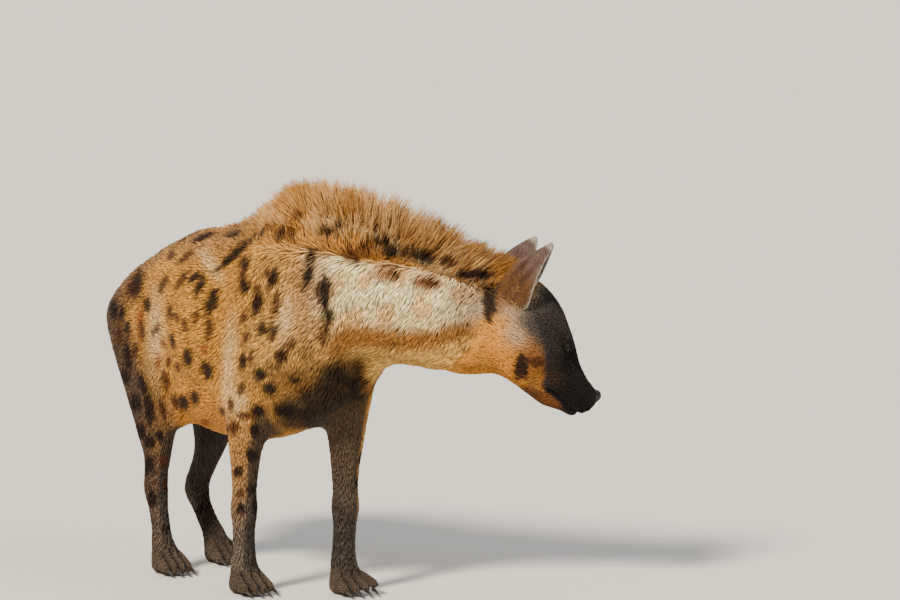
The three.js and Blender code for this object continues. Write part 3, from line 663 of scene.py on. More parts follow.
FLANK_MARKS = [
    (212, 302, 11, 27, 18, BLACK), (209, 329, 9, 25, 0, BROWN), (244, 317, 7, 12, 20, BROWN),
    (246, 338, 7, 11, 10, BROWN), (170, 312, 6, 17, 5, BROWN), (177, 317, 6, 11, -10, BROWN),
    (185, 325, 7, 13, -5, BROWN), (196, 317, 7, 16, 12, BROWN), (158, 328, 5, 11, 5, BROWN),
    (154, 333, 4, 10, 0, BROWN), (163, 343, 5, 10, 0, RUST), (173, 341, 6, 14, -12, BLACK),
    (188, 358, 9, 17, -10, BLACK), (207, 370, 11, 18, -20, BLACK), (178, 367, 5, 10, -20, BROWN),
    (169, 362, 6, 10, 0, BROWN), (204, 350, 7, 9, 0, RUST), (158, 362, 5, 17, 0, RUST),
    (166, 380, 8, 20, -10, BROWN), (184, 402, 10, 16, 0, BLACK), (195, 398, 8, 14, -10, BLACK),
    (223, 411, 7, 8, 0, BROWN), (206, 422, 9, 8, 0, RUST), (176, 403, 7, 12, -20, BROWN),
]
SHOULDER_MARKS = [
    (257, 304, 10, 22, 12, BLACK), (257, 290, 6, 11, 10, BROWN), (311, 256, 10, 16, 15, BLACK),
    (308, 275, 9, 24, 14, BLACK), (273, 279, 10, 21, 14, BLACK), (267, 273, 5, 10, 5, BROWN),
    (276, 305, 8, 26, 4, BROWN), (324, 291, 14, 28, 6, BLACK), (325, 305, 9, 15, -10, BLACK),
    (328, 316, 11, 17, 0, BLACK), (324, 336, 9, 21, 10, BROWN), (306, 326, 7, 17, 0, GREY),
    (262, 329, 9, 14, 14, BLACK), (273, 333, 9, 16, 10, BLACK), (281, 357, 12, 15, 0, BLACK),
    (291, 345, 10, 11, 30, BROWN), (243, 362, 8, 16, 0, BLACK), (251, 358, 6, 12, 10, BROWN),
    (260, 375, 11, 13, -10, BLACK), (241, 389, 8, 14, 22, BROWN), (270, 388, 13, 11, 0, BLACK),
    (294, 380, 12, 7, 15, BLACK), (285, 411, 21, 13, 20, BLACK), (231, 405, 6, 12, 0, BROWN),
]
NECK_MARKS = [
    (348, 254, 12, 17, 10, BROWN), (356, 259, 10, 12, 0, BROWN), (367, 249, 17, 15, -20, BROWN),
    (382, 240, 14, 13, 0, BLACK), (391, 250, 16, 14, -20, BLACK), (409, 252, 17, 14, -10, BROWN),
    (425, 257, 21, 14, 10, BLACK), (448, 262, 15, 12, 0, BROWN), (465, 274, 15, 9, 0, BLACK),
    (480, 274, 21, 10, 0, BLACK), (386, 274, 25, 16, 0, RUST), (394, 275, 12, 10, 0, BROWN),
    (427, 283, 29, 15, 5, RUST), (430, 283, 18, 10, 10, BROWN), (489, 303, 14, 34, 0, BLACK),
    (483, 285, 9, 16, 30, UMBER_AND_SHADE), (521, 367, 13, 22, 0, BLACK), (536, 362, 13, 9, 0, BROWN),
]
FORELEG_MARKS = [
    (257, 411, 12, 12, 0, BLACK), (248, 416, 19, 8, 10, BROWN), (234, 428, 11, 13, 0, BROWN),
    (255, 430, 10, 13, 0, BLACK), (230, 446, 6, 15, 0, BROWN), (252, 455, 11, 12, 0, BLACK),
    (238, 472, 9, 11, 30, BLACK), (241, 494, 7, 7, 0, BROWN), (253, 490, 10, 7, 0, BLACK),
    (240, 509, 9, 10, 0, BLACK), (257, 505, 6, 19, 0, BLACK),
]
HINDLEG_MARKS = [
    (137, 285, 12, 28, 10, BLACK), (148, 305, 7, 14, 0, BLACK), (114, 310, 8, 20, 0, BLACK),
    (122, 312, 6, 14, 0, BLACK), (128, 328, 6, 14, 0, BLACK), (141, 322, 8, 34, 0, RUST),
    (143, 331, 6, 21, -5, BROWN), (129, 290, 7, 15, 0, BROWN), (128, 355, 8, 28, -8, BLACK),
    (125, 377, 9, 16, -20, BLACK), (143, 385, 8, 22, -20, BLACK), (136, 403, 13, 17, -15, BLACK),
    (149, 408, 9, 30, -5, BLACK), (138, 432, 13, 15, -15, BLACK), (150, 441, 10, 12, -10, BLACK),
    (160, 436, 8, 12, 0, BLACK), (148, 465, 11, 16, 0, BLACK), (152, 499, 9, 17, 0, BLACK),
    (120, 335, 6, 20, 0, BROWN), (163, 410, 6, 17, -10, BROWN), (136, 350, 7, 15, 0, BROWN),
    (163, 462, 7, 13, 0, BROWN), (142, 486, 6, 12, 0, BROWN), (166, 485, 7, 12, 0, BROWN),
]
PHOTO_MARKS = SHADES + BACK_MARKS + FLANK_MARKS + SHOULDER_MARKS + NECK_MARKS + FORELEG_MARKS + HINDLEG_MARKS
PHOTO_MARK_REACH = 0.100
SEEDED_MARK_REACH = 0.032
MARK_SPREAD = 1.22
MARK_SPACING = 0.040
SEED_TRIES = 7000
SEEDED_HALF_HEIGHT = (0.010, 0.025)
SEEDED_HALF_WIDTH = (0.007, 0.013)


def photo_marks():
    """Each mark as its place, its long and short half axes, its kind, and how far round it is laid."""
    found = []
    for across, down, wide, high, turn, kind in PHOTO_MARKS:
        place = seen_at(across, down)
        lean = math.radians(turn)
        tall = TO_TOP * math.cos(lean) + TO_RIGHT * math.sin(lean)
        broad = TO_RIGHT * math.cos(lean) - TO_TOP * math.sin(lean)
        size = PIXEL / 2 * MARK_SPREAD
        found.append((place, tall / (high * size), broad / (wide * size), kind, PHOTO_MARK_REACH))
    return found


def hidden_from_camera(place, out):
    if out @ TO_CAMERA < 0.12:
        return True
    return skin_tree.ray_cast(Vector(place + out * 0.004), back)[0] is not None


def seeded_marks(photographed):
    """Marks of the same kind for what the photograph doesn't show, kept apart from each other."""
    dice = np.random.default_rng(5)
    taken = [place for place, _, _, kind, _ in photographed if kind <= RUST]
    found = []
    spotted = skin_shares[:, TORSO] + skin_shares[:, LEG] + 0.62 * skin_shares[:, NECK]
    for index in dice.permutation(len(skin_at))[:SEED_TRIES]:
        place, out = skin_at[index], skin_out[index]
        inside_leg = skin_shares[index, LEG] > 0.5 and out[1] * np.sign(place[1] - ORIGIN[1]) < 0.2
        if spotted[index] < 0.6 or out[2] < -0.5 or inside_leg or not hidden_from_camera(place, out):
            continue
        gap = np.linalg.norm(np.array(taken) - place, axis=1).min()
        if gap < MARK_SPACING * dice.uniform(0.75, 1.2):
            continue
        taken.append(place)
        upright = np.array([0.25, 0, 1]) if out[2] < 0.75 else np.array([1, 0.1, 0])
        tall = unit(upright - out * (upright @ out))
        broad = np.cross(out, tall)
        high = dice.uniform(*SEEDED_HALF_HEIGHT)
        wide = dice.uniform(*SEEDED_HALF_WIDTH)
        kind = BROWN if dice.random() < 0.4 and skin_shares[index, LEG] < 0.5 else BLACK
        found.append((place, tall / high, broad / wide, kind, SEEDED_MARK_REACH))
    return found


marks = photo_marks()
marks += seeded_marks(marks)


def lay_marks(at, colours):
    """Lays the marks over the coat's colours, and gives the result back."""
    colours = colours.copy()
    ragged = 0.14 * ripple(at, 0.016, 31) + 0.12 * ripple(at, 0.006, 32)
    for place, tall, broad, kind, reach in marks:
        colour, cover, inner, outer = KINDS[kind]
        offset = at - place
        near = np.flatnonzero(dot(offset, offset) < reach ** 2 + 1 / (tall @ tall))
        offset = offset[near]
        spread = np.hypot(offset @ tall, offset @ broad) + ragged[near]
        colours[near] += (cover * (1 - smoothstep(inner, outer, spread)))[:, None] * (colour - colours[near])
    return np.clip(colours, 0.004, 1)


def blend(colours, colour, share):
    return colours + np.clip(share, 0, 1)[:, None] * (colour - colours)


def chest_fur_and_shade_share(body, out):
    """How far a place belongs to the dark front of the chest, dark fur with painted shade under the neck,
    which rises to the foot of the neck.
    """
    x, _, z = body.T
    rise = np.minimum(0.36 + 1.23 * (x - 0.22), 0.52)
    facing = smoothstep(-0.2, 0.25, out[:, 0] - out[:, 2])
    below = smoothstep(-0.03, 0.06, rise - z + 0.018 * ripple(body, 0.05, 26))
    return below * smoothstep(0.15, 0.24, x) * facing


def parting_at(station):
    """How steep the skin is where the mane's long hair parts from the short hair of the side."""
    return np.interp(station, [2.5, 4, 6, 7, 8, 9, 12], [0.80, 0.62, 0.46, 0.42, 0.52, 0.58, 0.60])


def layered(base, count, *layers):
    """A base colour under layers, each a colour and how far it covers."""
    colours = np.tile(base, (count, 1))
    for colour, share in layers:
        colours = blend(colours, colour, share)
    return colours


def torso_colours(body, out):
    x = body[:, 0]
    up = out[:, 2]
    along_belly = smoothstep(-0.26, -0.14, x) * (1 - smoothstep(0.1, 0.25, x))
    return layered(
        GOLDEN, len(body),
        (SHOULDER_TAN, smoothstep(0.16, 0.28, x)),
        # The rump: brown fur with painted shade
        (RUMP_BROWN_AND_SHADE, 1 - smoothstep(-0.36, -0.20, x)),
        (BACK_BROWN, smoothstep(0.35, 0.85, up) * (1 - smoothstep(0.05, 0.2, x)) * 0.75),
        (MANE_GOLD, smoothstep(0.45, 0.8, up) * smoothstep(0.05, 0.2, x)),
        (BELLY_GOLD, smoothstep(0.1, 0.6, -up) * along_belly),
        # The dark chest: dark fur with painted shade under the neck
        (CHEST_DARK_AND_SHADE, 0.96 * chest_fur_and_shade_share(body, out)),
    )


def neck_colours(body, out, station):
    up = out[:, 2]
    brown_from = np.interp(station, [8.4, 9.4, 10.4], [0.20, 0.06, -0.16])
    gold_from = np.interp(station, [7.0, 8.5, 9.6, 10.4], [0.54, 0.48, 0.24, 0.00])
    parting = parting_at(station)
    return layered(
        CREAM, len(body),
        (NECK_GREY, smoothstep(8.8, 10.8, station) * 0.8),
        (SHOULDER_TAN, 1 - smoothstep(5.3, 6.5, station)),
        (GOLDEN, 0.45 * smoothstep(-0.2, 0.9, ripple(body, 0.07, 25))),
        (GOLDEN, 0.35 * smoothstep(-0.1, 0.3, -up)),
        (THROAT_BROWN, smoothstep(0, 0.17, -up - brown_from)),
        # The underside of the neck: golden fur with painted light
        (THROAT_GOLD_AND_LIGHT, 0.9 * smoothstep(0, 0.22, -up - gold_from)),
        (MANE_GOLD, smoothstep(parting - 0.06, parting + 0.06, up)),
        # Painted shade with the chest's dark fur at the foot of the neck, over the chest
        (CHEST_DARK_AND_SHADE, (1 - smoothstep(0.48, 0.53, body[:, 2])) * (1 - smoothstep(7.2, 7.8, station))),
    )


# How far forward the dark face starts, by the height on the head
MASK_HEIGHTS = [-0.12, -0.095, -0.078, -0.055, -0.03, 0.0]
MASK_FRONTS = [0.250, 0.228, 0.168, 0.140, 0.108, 0.060]


def head_colours(head, neck):
    x, y, z = head.T
    mask_from = np.interp(z, MASK_HEIGHTS, MASK_FRONTS) + 0.010 * ripple(head, 0.03, 23)
    below_lips = smoothstep(0.005, 0.012, -over_lips(head)) * smoothstep(0.13, 0.16, x)
    return layered(
        FOREHEAD, len(head),
        (neck, 1 - smoothstep(-0.01, 0.045, x)),
        (JAW_GOLD, smoothstep(-0.06, 0.01, x) * smoothstep(0.020, 0.060, -z)),
        (EAR_ROOT, 0.95 * bump(-0.030, 0.036, x) * bump(-0.014, 0.042, z)),
        (CHEEK, 0.9 * bump(0.100, 0.050, x) * bump(-0.055, 0.030, z)),
        (CHEEK_PALE, 0.85 * bump(0.042, 0.028, x) * bump(-0.048, 0.022, z)),
        (FACE_DARK, smoothstep(-0.022, 0.026, x - mask_from)),
        (JAW_RED, below_lips * (1 - smoothstep(0.225, 0.255, x))),
        (CHEEK, 0.7 * bump(0.150, 0.022, x) * bump(-0.088, 0.014, z)),
        (MUZZLE, smoothstep(0.150, 0.190, x + 0.25 * (z + 0.04)) * (1 - below_lips)),
        (MUZZLE_BROWN, 0.75 * bump(0.172, 0.022, x) * bump(-0.046, 0.018, z) * (np.abs(y) > 0.02)),
        (LIDS, 1 - smoothstep(0.0140, 0.0190, eye_gap(head))),
    )


def ear_colours(head, out):
    """Tan behind, dark inside, pale along the rims."""
    z = head[:, 2]
    streaks = 0.5 + 0.6 * ripple(head * [1, 1, 0.12], 0.016, 24)
    return layered(
        EAR_TAN, len(head),
        (EAR_ROSE, smoothstep(0.03, 0.08, z)),
        (EAR_STREAK, 0.7 * streaks * (1 - smoothstep(0.06, 0.11, z))),
        (EAR_RIM, 0.8 * smoothstep(0.118, 0.134, z)),
        (EAR_INSIDE, smoothstep(0.05, 0.45, out[:, 0])),
    )


def leg_colours(body, out):
    z = body[:, 2]
    hind = 1 - smoothstep(-0.24, -0.14, body[:, 0])
    # Painted shade on the sides that face inwards and forwards
    shaded_sides = 0.8 * out[:, 0] - out[:, 1] * np.sign(body[:, 1])
    return layered(
        LEG_TAN, len(body),
        (GOLDEN, smoothstep(0.34, 0.44, z)),
        (LEG_GREY, 1 - smoothstep(0.10, 0.33, z)),
        # The hind legs: brown fur with painted shade, darkest low down
        (RUMP_BROWN_AND_SHADE, hind * (1 - 0.4 * smoothstep(0.45, 0.56, z))),
        (HOCK_BROWN_AND_SHADE, 0.9 * hind * (1 - smoothstep(0.22, 0.46, z))),
        (LEG_SHADE, 0.85 * smoothstep(0.0, 0.5, shaded_sides)),
    )


ear_rims = place_tree(np.concatenate([
    from_head(ear_sheet(side)[:, column]) for side in SIDES for column in (0, -1)
]).tolist())
RIM_WIDTH = 0.0042


def unmarked_colours(at, out, shares):
    """The coat's colour at each place without its spots, for the skin and for the tufts that stand on it."""
    body = at - ORIGIN
    head = to_head(at)
    station, _ = along_spine(at)
    neck = neck_colours(body, out, station)
    tail = layered(TAIL_TAN, len(at), (TAIL_BLACK, 1 - smoothstep(0.44, 0.53, body[:, 2])))
    # Painted shade in the clefts between the toes
    paw = layered(PAW_BROWN, len(at), (LEG_SHADE * 0.3, 0.9 * toe_clefts(at)))
    by_region = [
        torso_colours(body, out), neck, head_colours(head, neck), tail, leg_colours(body, out),
        paw, ear_colours(head, out @ HEAD_TURN),
    ]
    colours = sum(shares[:, [region]] * paint for region, paint in enumerate(by_region))
    for index in np.flatnonzero(shares[:, EAR] > 0.3):
        rim = 1 - smoothstep(0.4, 1, ear_rims.find(at[index])[2] / RIM_WIDTH)
        colours[index] += 0.85 * rim * (EAR_RIM - colours[index])
    return colours * (1 + 0.09 * ripple(at, 0.09, 21) + 0.07 * ripple(at, 0.025, 22))[:, None]


# The mane, by the station of the spine: how long its locks are, and how far they lean towards the head
MANE_STATIONS = [2.2, 3, 4, 5, 6, 7, 8, 9, 10, 11, 12, 12.7]
MANE_LENGTHS = [0.016, 0.038, 0.055, 0.064, 0.071, 0.079, 0.081, 0.076, 0.066, 0.054, 0.040, 0.026]
MANE_LEANS = [-0.85, -0.74, -0.58, -0.38, -0.16, 0.10, 0.32, 0.48, 0.60, 0.68, 0.72, 0.72]

# Middle line of the nose, where the hair of the face starts
NOSE_TIP = np.array([0.289, 0, -0.017])


def upper_neck(out, station):
    """How far a place belongs to the long hair at the foot of the mane, above the parting."""
    parting = parting_at(station)
    return smoothstep(parting - 0.09, parting + 0.14, out[:, 2]) * smoothstep(2.4, 3.2, station)


def lie_of(at, out, shares):
    """The way the hair lies at each place."""
    body = at - ORIGIN
    head = to_head(at)
    x = body[:, 0]
    station, forwards = along_spine(at)
    down = np.array([0, 0, -1.0])
    sideways = np.clip(1 - np.abs(out[:, 2]), 0, 1)
    steep = 0.35 + 1.0 * (1 - smoothstep(-0.34, -0.2, x)) + 0.75 * smoothstep(0.02, 0.2, x)
    torso = unit(-forwards + down * (steep * sideways)[:, None])
    neck = unit(-0.45 * forwards + down * (1.2 * sideways)[:, None])
    lean = np.interp(station, MANE_STATIONS, MANE_LEANS)
    swept = unit(forwards * (1.6 * lean)[:, None] - down * (1.1 - 0.6 * np.abs(lean))[:, None])
    raised = upper_neck(out, station)[:, None]
    torso += raised * (swept - torso)
    neck += raised * (swept - neck)
    from_nose = unit(head - NOSE_TIP)
    from_nose[:, 2] -= 0.25
    tail = np.where((body[:, 2] > 0.57)[:, None], [-1.0, 0, -0.3], [0.0, 0, -1.0])
    ear = np.stack([np.full(len(at), -0.1), 0.1 * np.sign(head[:, 1]), np.ones(len(at))], axis=1)
    leg = np.tile([-0.18, 0, -1.0], (len(at), 1))
    paw = np.tile([0.8, 0, -0.4], (len(at), 1))
    by_region = [torso, neck, from_nose @ HEAD_TURN.T, tail, leg, paw, ear @ HEAD_TURN.T]
    way = sum(shares[:, [region]] * unit(lie) for region, lie in enumerate(by_region))
    swirl = 0.18 * ripple(at, 0.08, 41) + draw.normal(0, 0.12, len(at))
    return square_to(way + np.cross(out, way) * swirl[:, None], out)


def scatter(density):
    """Roots spread evenly over the skin, so many to a square metre, as faces and places within them."""
    reached = np.cumsum(face_areas * density[skin_faces].mean(axis=1))
    count = int(reached[-1])
    face = np.searchsorted(reached, (np.arange(count) + draw.random(count)) * reached[-1] / count)
    a, b = draw.random(count), draw.random(count)
    over = a + b > 1
    a[over], b[over] = 1 - a[over], 1 - b[over]
    return np.minimum(face, len(skin_faces) - 1), np.stack([1 - a - b, a, b], axis=1)


def roots_at(face, share):
    """Places, normals, regions and unwrap places of roots."""
    corners = skin_faces[face]
    values = (skin_at[corners], skin_out[corners], skin_shares[corners], face_uv[face])
    at, out, shares, bake = (np.einsum("ij,ijk->ik", share, value) for value in values)
    return at, unit(out), shares, bake


def over_skin(near):
    """The nearest places on the skin, and which way is out there."""
    on = np.empty_like(near)
    out = np.empty_like(near)
    for index, place in enumerate(near.tolist()):
        on[index], out[index], _, _ = skin_tree.find_nearest(place)
    return on, out


def set_inputs(node, **values):
    """Sets a node's inputs by their names, written with underscores."""
    for name, value in values.items():
        node.inputs[name.replace("_", " ")].default_value = value
    return node


def glossy_material(name, roughness, specular):
    """A new material with the gloss of its shader set, and its nodes, links and shader."""
    material = bpy.data.materials.new(name)
    material.use_nodes = True
    nodes = material.node_tree.nodes
    shader = set_inputs(nodes["Principled BSDF"], Roughness=roughness, Specular_IOR_Level=specular)
    return material, nodes, material.node_tree.links, shader


def add_relief(nodes, links, height, strength, distance):
    """Raises the surface by a pattern's height."""
    relief = set_inputs(nodes.new("ShaderNodeBump"), Strength=strength, Distance=distance)
    links.new(height, relief.inputs["Height"])
    links.new(relief.outputs[0], nodes["Principled BSDF"].inputs["Normal"])


def painted_colour(nodes, links):
    """Puts the colours stored on the vertices, scaled, in the base colour, and gives the node that scales."""
    paint = nodes.new("ShaderNodeAttribute")
    paint.attribute_name = "coat_colour"
    product = nodes.new("ShaderNodeVectorMath")
    product.operation = "SCALE"
    links.new(paint.outputs["Color"], product.inputs[0])
    links.new(product.outputs[0], nodes["Principled BSDF"].inputs["Base Color"])
    return product


def fur_material(name, streaks, relief_strength):
    """Fur: the painted colour with fine streaks along each tuft."""
    material, nodes, links, _ = glossy_material(name, 0.60, 0.22)
    place = nodes.new("ShaderNodeUVMap")
    place.uv_map = "Strand"
    stretch = set_inputs(nodes.new("ShaderNodeMapping"), Scale=(streaks, 0.7, 1))
    noise = set_inputs(nodes.new("ShaderNodeTexNoise"), Scale=1, Detail=1)
    tone = nodes.new("ShaderNodeMapRange")
    set_inputs(tone, From_Min=0.3, From_Max=0.7, To_Min=0.70, To_Max=1.25)
    links.new(place.outputs[0], stretch.inputs["Vector"])
    links.new(stretch.outputs[0], noise.inputs["Vector"])
    links.new(noise.outputs[0], tone.inputs["Value"])
    links.new(tone.outputs[0], painted_colour(nodes, links).inputs["Scale"])
    add_relief(nodes, links, noise.outputs[0], relief_strength, 0.0008)
    return material


def underfur_material():
    """The short underfur, in the coat's colours and a little darker."""
    material, nodes, links, _ = glossy_material("underfur", 0.85, 0.15)
    set_inputs(painted_colour(nodes, links), Scale=0.75)
    noise = set_inputs(nodes.new("ShaderNodeTexNoise"), Scale=420, Detail=2)
    links.new(nodes.new("ShaderNodeTexCoord").outputs["Object"], noise.inputs["Vector"])
    add_relief(nodes, links, noise.outputs[0], 0.5, 0.001)
    return material


short_fur = fur_material("short_fur", 3.0, 0.30)
long_fur = fur_material("long_fur", 4.0, 0.45)
TUFT_PATCH = 0.003
STRAND_SPREAD = 7


def triangle_mesh(name, at, faces):
    mesh = bpy.data.meshes.new(name)
    mesh.vertices.add(len(at))
    mesh.vertices.foreach_set("co", at.ravel())
    mesh.loops.add(faces.size)
    mesh.loops.foreach_set("vertex_index", faces.astype(np.int32).ravel())
    mesh.polygons.add(len(faces))
    mesh.polygons.foreach_set("loop_start", np.arange(0, faces.size, 3, dtype=np.int32))
    smooth(mesh)
    mesh.update(calc_edges=True)
    return mesh


def tuft_faces(rings):
    """The triangles of one closed tuft: a root cap, three sides between rings, and three up to the tip."""
    faces = [(0, 2, 1)]
    for low in range(0, 3 * rings - 3, 3):
        for one, other in ((0, 1), (1, 2), (2, 0)):
            faces.append((low + one, low + other, low + 3 + other))
            faces.append((low + one, low + 3 + other, low + 3 + one))
    last = 3 * rings - 3
    return np.array(faces + [(last + one, last + other, last + 3) for one, other in ((0, 1), (1, 2), (2, 0))])


def add_tufts(name, material, rings, tips, sides, rises, widths, profile, steps, root_shade_and_tip_tone, colours, bake):
    """One piece of three-sided tufts, from the middles of each ring and the tips of all of them at once."""
    count = len(tips)
    layers = []
    for ring, share in zip(rings, profile):
        half = sides * (widths * share / 2)[:, None]
        ridge = rises * (widths * share * 0.42)[:, None]
        layers += [ring - half, ring + half, ring + ridge]
    at = np.stack([*layers, tips], axis=1)
    tall = at.shape[1]
    faces = (np.arange(count)[:, None, None] * tall + tuft_faces(len(rings))).reshape(-1, 3)
    mesh = triangle_mesh(name, at.reshape(-1, 3), faces)

    along = np.append(np.repeat(steps[:-1], 3), steps[-1])
    across = np.append(np.tile([0, 1, 0.5], len(rings)), 0.5)
    # Each ring's colour is scaled: painted shade darkens the roots, and the tips are paler
    painted = [np.clip(colours[corner // 3] * root_shade_and_tip_tone[corner // 3], 0, 1) for corner in range(tall)]
    paint_corners(mesh, np.stack(painted, axis=1).reshape(-1, 3))
    patch = bake[:, None, :] + TUFT_PATCH * (np.stack([across, along], axis=1) - 0.5)
    strand = draw.random((count, 1, 2)) * STRAND_SPREAD + np.stack([across, along * 4], axis=1)
    for layer, flat in (("OFBake", patch), ("Strand", strand)):
        mesh.uv_layers.new(name=layer).data.foreach_set("uv", flat.reshape(-1, 2)[faces.ravel()].ravel())
    mesh.materials.append(material)
    piece = new_object(name, mesh)
    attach(piece, "root")
    return piece


paint_corners(skin_mesh, lay_marks(skin_at, unmarked_colours(skin_at, skin_out, skin_shares)))
skin_mesh.materials.append(underfur_material())

# The coat: tufts of every region, in pieces of no more than so many tufts
PIECE_TUFTS = 19000
EYE_BARE = 0.0150
NOSE_BARE = 0.0215
NECK_TOP_LENGTH = 0.050
# How deep the roots of tufts, of the brush and whiskers, and of the mane's locks are sunk in the skin
TUFT_SUNK = 0.001
HAIR_SUNK = 0.002
LOCK_SUNK = 0.003


def grow_coat():
    face, share = scatter(skin_shares @ TUFTS_A_SQUARE_METRE)
    at, out, shares, bake = roots_at(face, share)
    head = to_head(at)
    on_lips = (np.abs(over_lips(head)) < 0.0020) & (head[:, 0] > 0.176) & (shares[:, HEAD] > 0.5)
    off_nose = np.linalg.norm((head - NOSE_MIDDLE) / NOSE_RADII, axis=1) > NOSE_BARE / NOSE_RADII[0]
    kept = (eye_gap(head) > EYE_BARE) & off_nose & ~on_lips & (at[:, 2] > 0.003)
    at, out, shares, bake, head = (values[kept] for values in (at, out, shares, bake, head))
    count = len(at)
    lie = lie_of(at, out, shares)
    station, _ = along_spine(at)
    raised = upper_neck(out, station) * np.clip(shares[:, NECK] + shares[:, TORSO], 0, 1)
    length = shares @ TUFT_LENGTH
    length += raised * (NECK_TOP_LENGTH * np.interp(station, [2.4, 4, 8, 12.5], [0.7, 1, 0.9, 0.6]) - length)
    length *= draw.uniform(0.75, 1.2, count)
    width = shares @ TUFT_WIDTH * draw.uniform(0.75, 1.25, count)
    height = shares @ COAT_DEPTH * (1 + 0.9 * raised) * draw.uniform(0.6, 1.05, count)
    fine = 1 - 0.6 * bump(0, 0.03, eye_gap(head)) - 0.45 * smoothstep(0.19, 0.26, head[:, 0])
    fine += 0.9 * shares[:, HEAD] * (1 - smoothstep(0.0, 0.10, head[:, 0]))
    length *= fine
    width *= np.sqrt(fine)
    height *= np.minimum(fine, 1.2) * (1 - 0.7 * toe_clefts(at))
    middle, middle_out = over_skin(at + lie * (length * 0.5)[:, None])
    end, end_out = over_skin(at + lie * length[:, None])
    middle += middle_out * (height * 0.62)[:, None]
    end += end_out * height[:, None]
    plain = unmarked_colours(middle, middle_out, shares) * draw.uniform(0.80, 1.18, (count, 1))
    painted = [lay_marks(place, plain) for place in (at, middle, end)]
    root = at - out * TUFT_SUNK
    sides = unit(np.cross(out, lie))
    main = np.argmax(shares, axis=1)
    for region, name in enumerate(REGIONS):
        members = np.flatnonzero(main == region)
        members = members[np.argsort(at[members, 0], kind="stable")]
        for number, part in enumerate(np.array_split(members, math.ceil(len(members) / PIECE_TUFTS))):
            # Painted shade at the roots, paler tips
            add_tufts(
                f"coat_{name}_{number + 1}", short_fur, [root[part], middle[part]], end[part],
                sides[part], out[part], width[part], (0.8, 1.0), (0, 0.5, 1), (0.84, 1.0, 1.1),
                [colours[part] for colours in painted], bake[part],
            )


grow_coat()

MANE_LOCKS = 8900
MANE_HALF_WIDTH = 0.050
MANE_SPREAD = 0.48
MANE_CLUMP = 0.022
MANE_STEPS = (0, 0.25, 0.5, 0.75, 1)
OVER_ALL = 1.2


def grow_mane():
    station = np.interp(draw.random(MANE_LOCKS), [0, 0.30, 1], [2.2, 5.2, 12.7])
    beside = np.clip(draw.normal(0, MANE_SPREAD, MANE_LOCKS), -1, 1)
    forwards = unit(spine_way(station) * [1, 1, 0])
    left = np.cross([0, 0, 1.0], forwards)
    beyond = np.maximum(station - STATIONS[-1], 0)
    middle = over_stations(SPINE, station) + ORIGIN + forwards * (beyond * 0.05)[:, None]
    roots, outs, faces = [], [], []
    for x, y, _ in (middle + left * (beside * MANE_HALF_WIDTH)[:, None]).tolist():
        hit, out, face, _ = skin_tree.ray_cast(Vector((x, y, OVER_ALL)), Vector((0, 0, -1)))
        roots.append(hit)
        outs.append(out)
        faces.append(face)
    roots, outs = np.array(roots), np.array(outs)
    length = np.interp(station, MANE_STATIONS, MANE_LENGTHS) * draw.uniform(0.62, 1.18, MANE_LOCKS)
    length *= 1 - 0.22 * np.abs(beside)
    lean = np.interp(station, MANE_STATIONS, MANE_LEANS) + draw.normal(0, 0.10, MANE_LOCKS)
    lean += 0.16 * ripple(roots, 0.05, 62)
    splay = beside * 0.45 + draw.normal(0, 0.10, MANE_LOCKS) + 0.14 * ripple(roots, 0.05, 63)
    clump = np.round(roots / MANE_CLUMP) * MANE_CLUMP
    clump[:, 2] = roots[:, 2]
    gather = (clump - roots) * 0.7
    rise = np.sqrt(np.clip(1 - lean ** 2 - splay ** 2, 0.12, 1))

    def lock_at(t):
        bent = forwards * (lean * t ** 1.5)[:, None] + left * (splay * t ** 1.2)[:, None]
        bent[:, 2] += rise * t
        return roots + bent * length[:, None] + gather * t

    grain = unit(lock_at(0.7) - roots)
    sides = square_to(-left + 0.6 * draw.normal(0, 1, (MANE_LOCKS, 3)), grain)
    colours = MANE_GOLD * draw.uniform(0.62, 1.16, (MANE_LOCKS, 1))
    pale = 0.25 + 0.40 * ripple(roots, 0.05, 61) + 0.35 * bump(7, 1.6, station)
    colours += (MANE_TIP - colours) * np.clip(pale, 0, 0.8)[:, None]
    rings = [lock_at(t) for t in MANE_STEPS]
    rings[0] -= outs * LOCK_SUNK
    widths = draw.uniform(0.0014, 0.0028, MANE_LOCKS)
    # Painted shade at the roots of the locks, paler tips
    add_tufts(
        "mane", long_fur, rings[:-1], rings[-1], sides, unit(np.cross(grain, sides)), widths,
        (0.8, 1.0, 0.9, 0.6), MANE_STEPS, (0.65, 0.86, 1.0, 1.1, 1.25),
        [lay_marks(ring, colours) for ring in rings], face_uv[faces].mean(axis=1),
    )


grow_mane()

# The tail's brush hangs to a little over this height
BRUSH_LOCKS = 1700
BRUSH_FOOT = 0.398


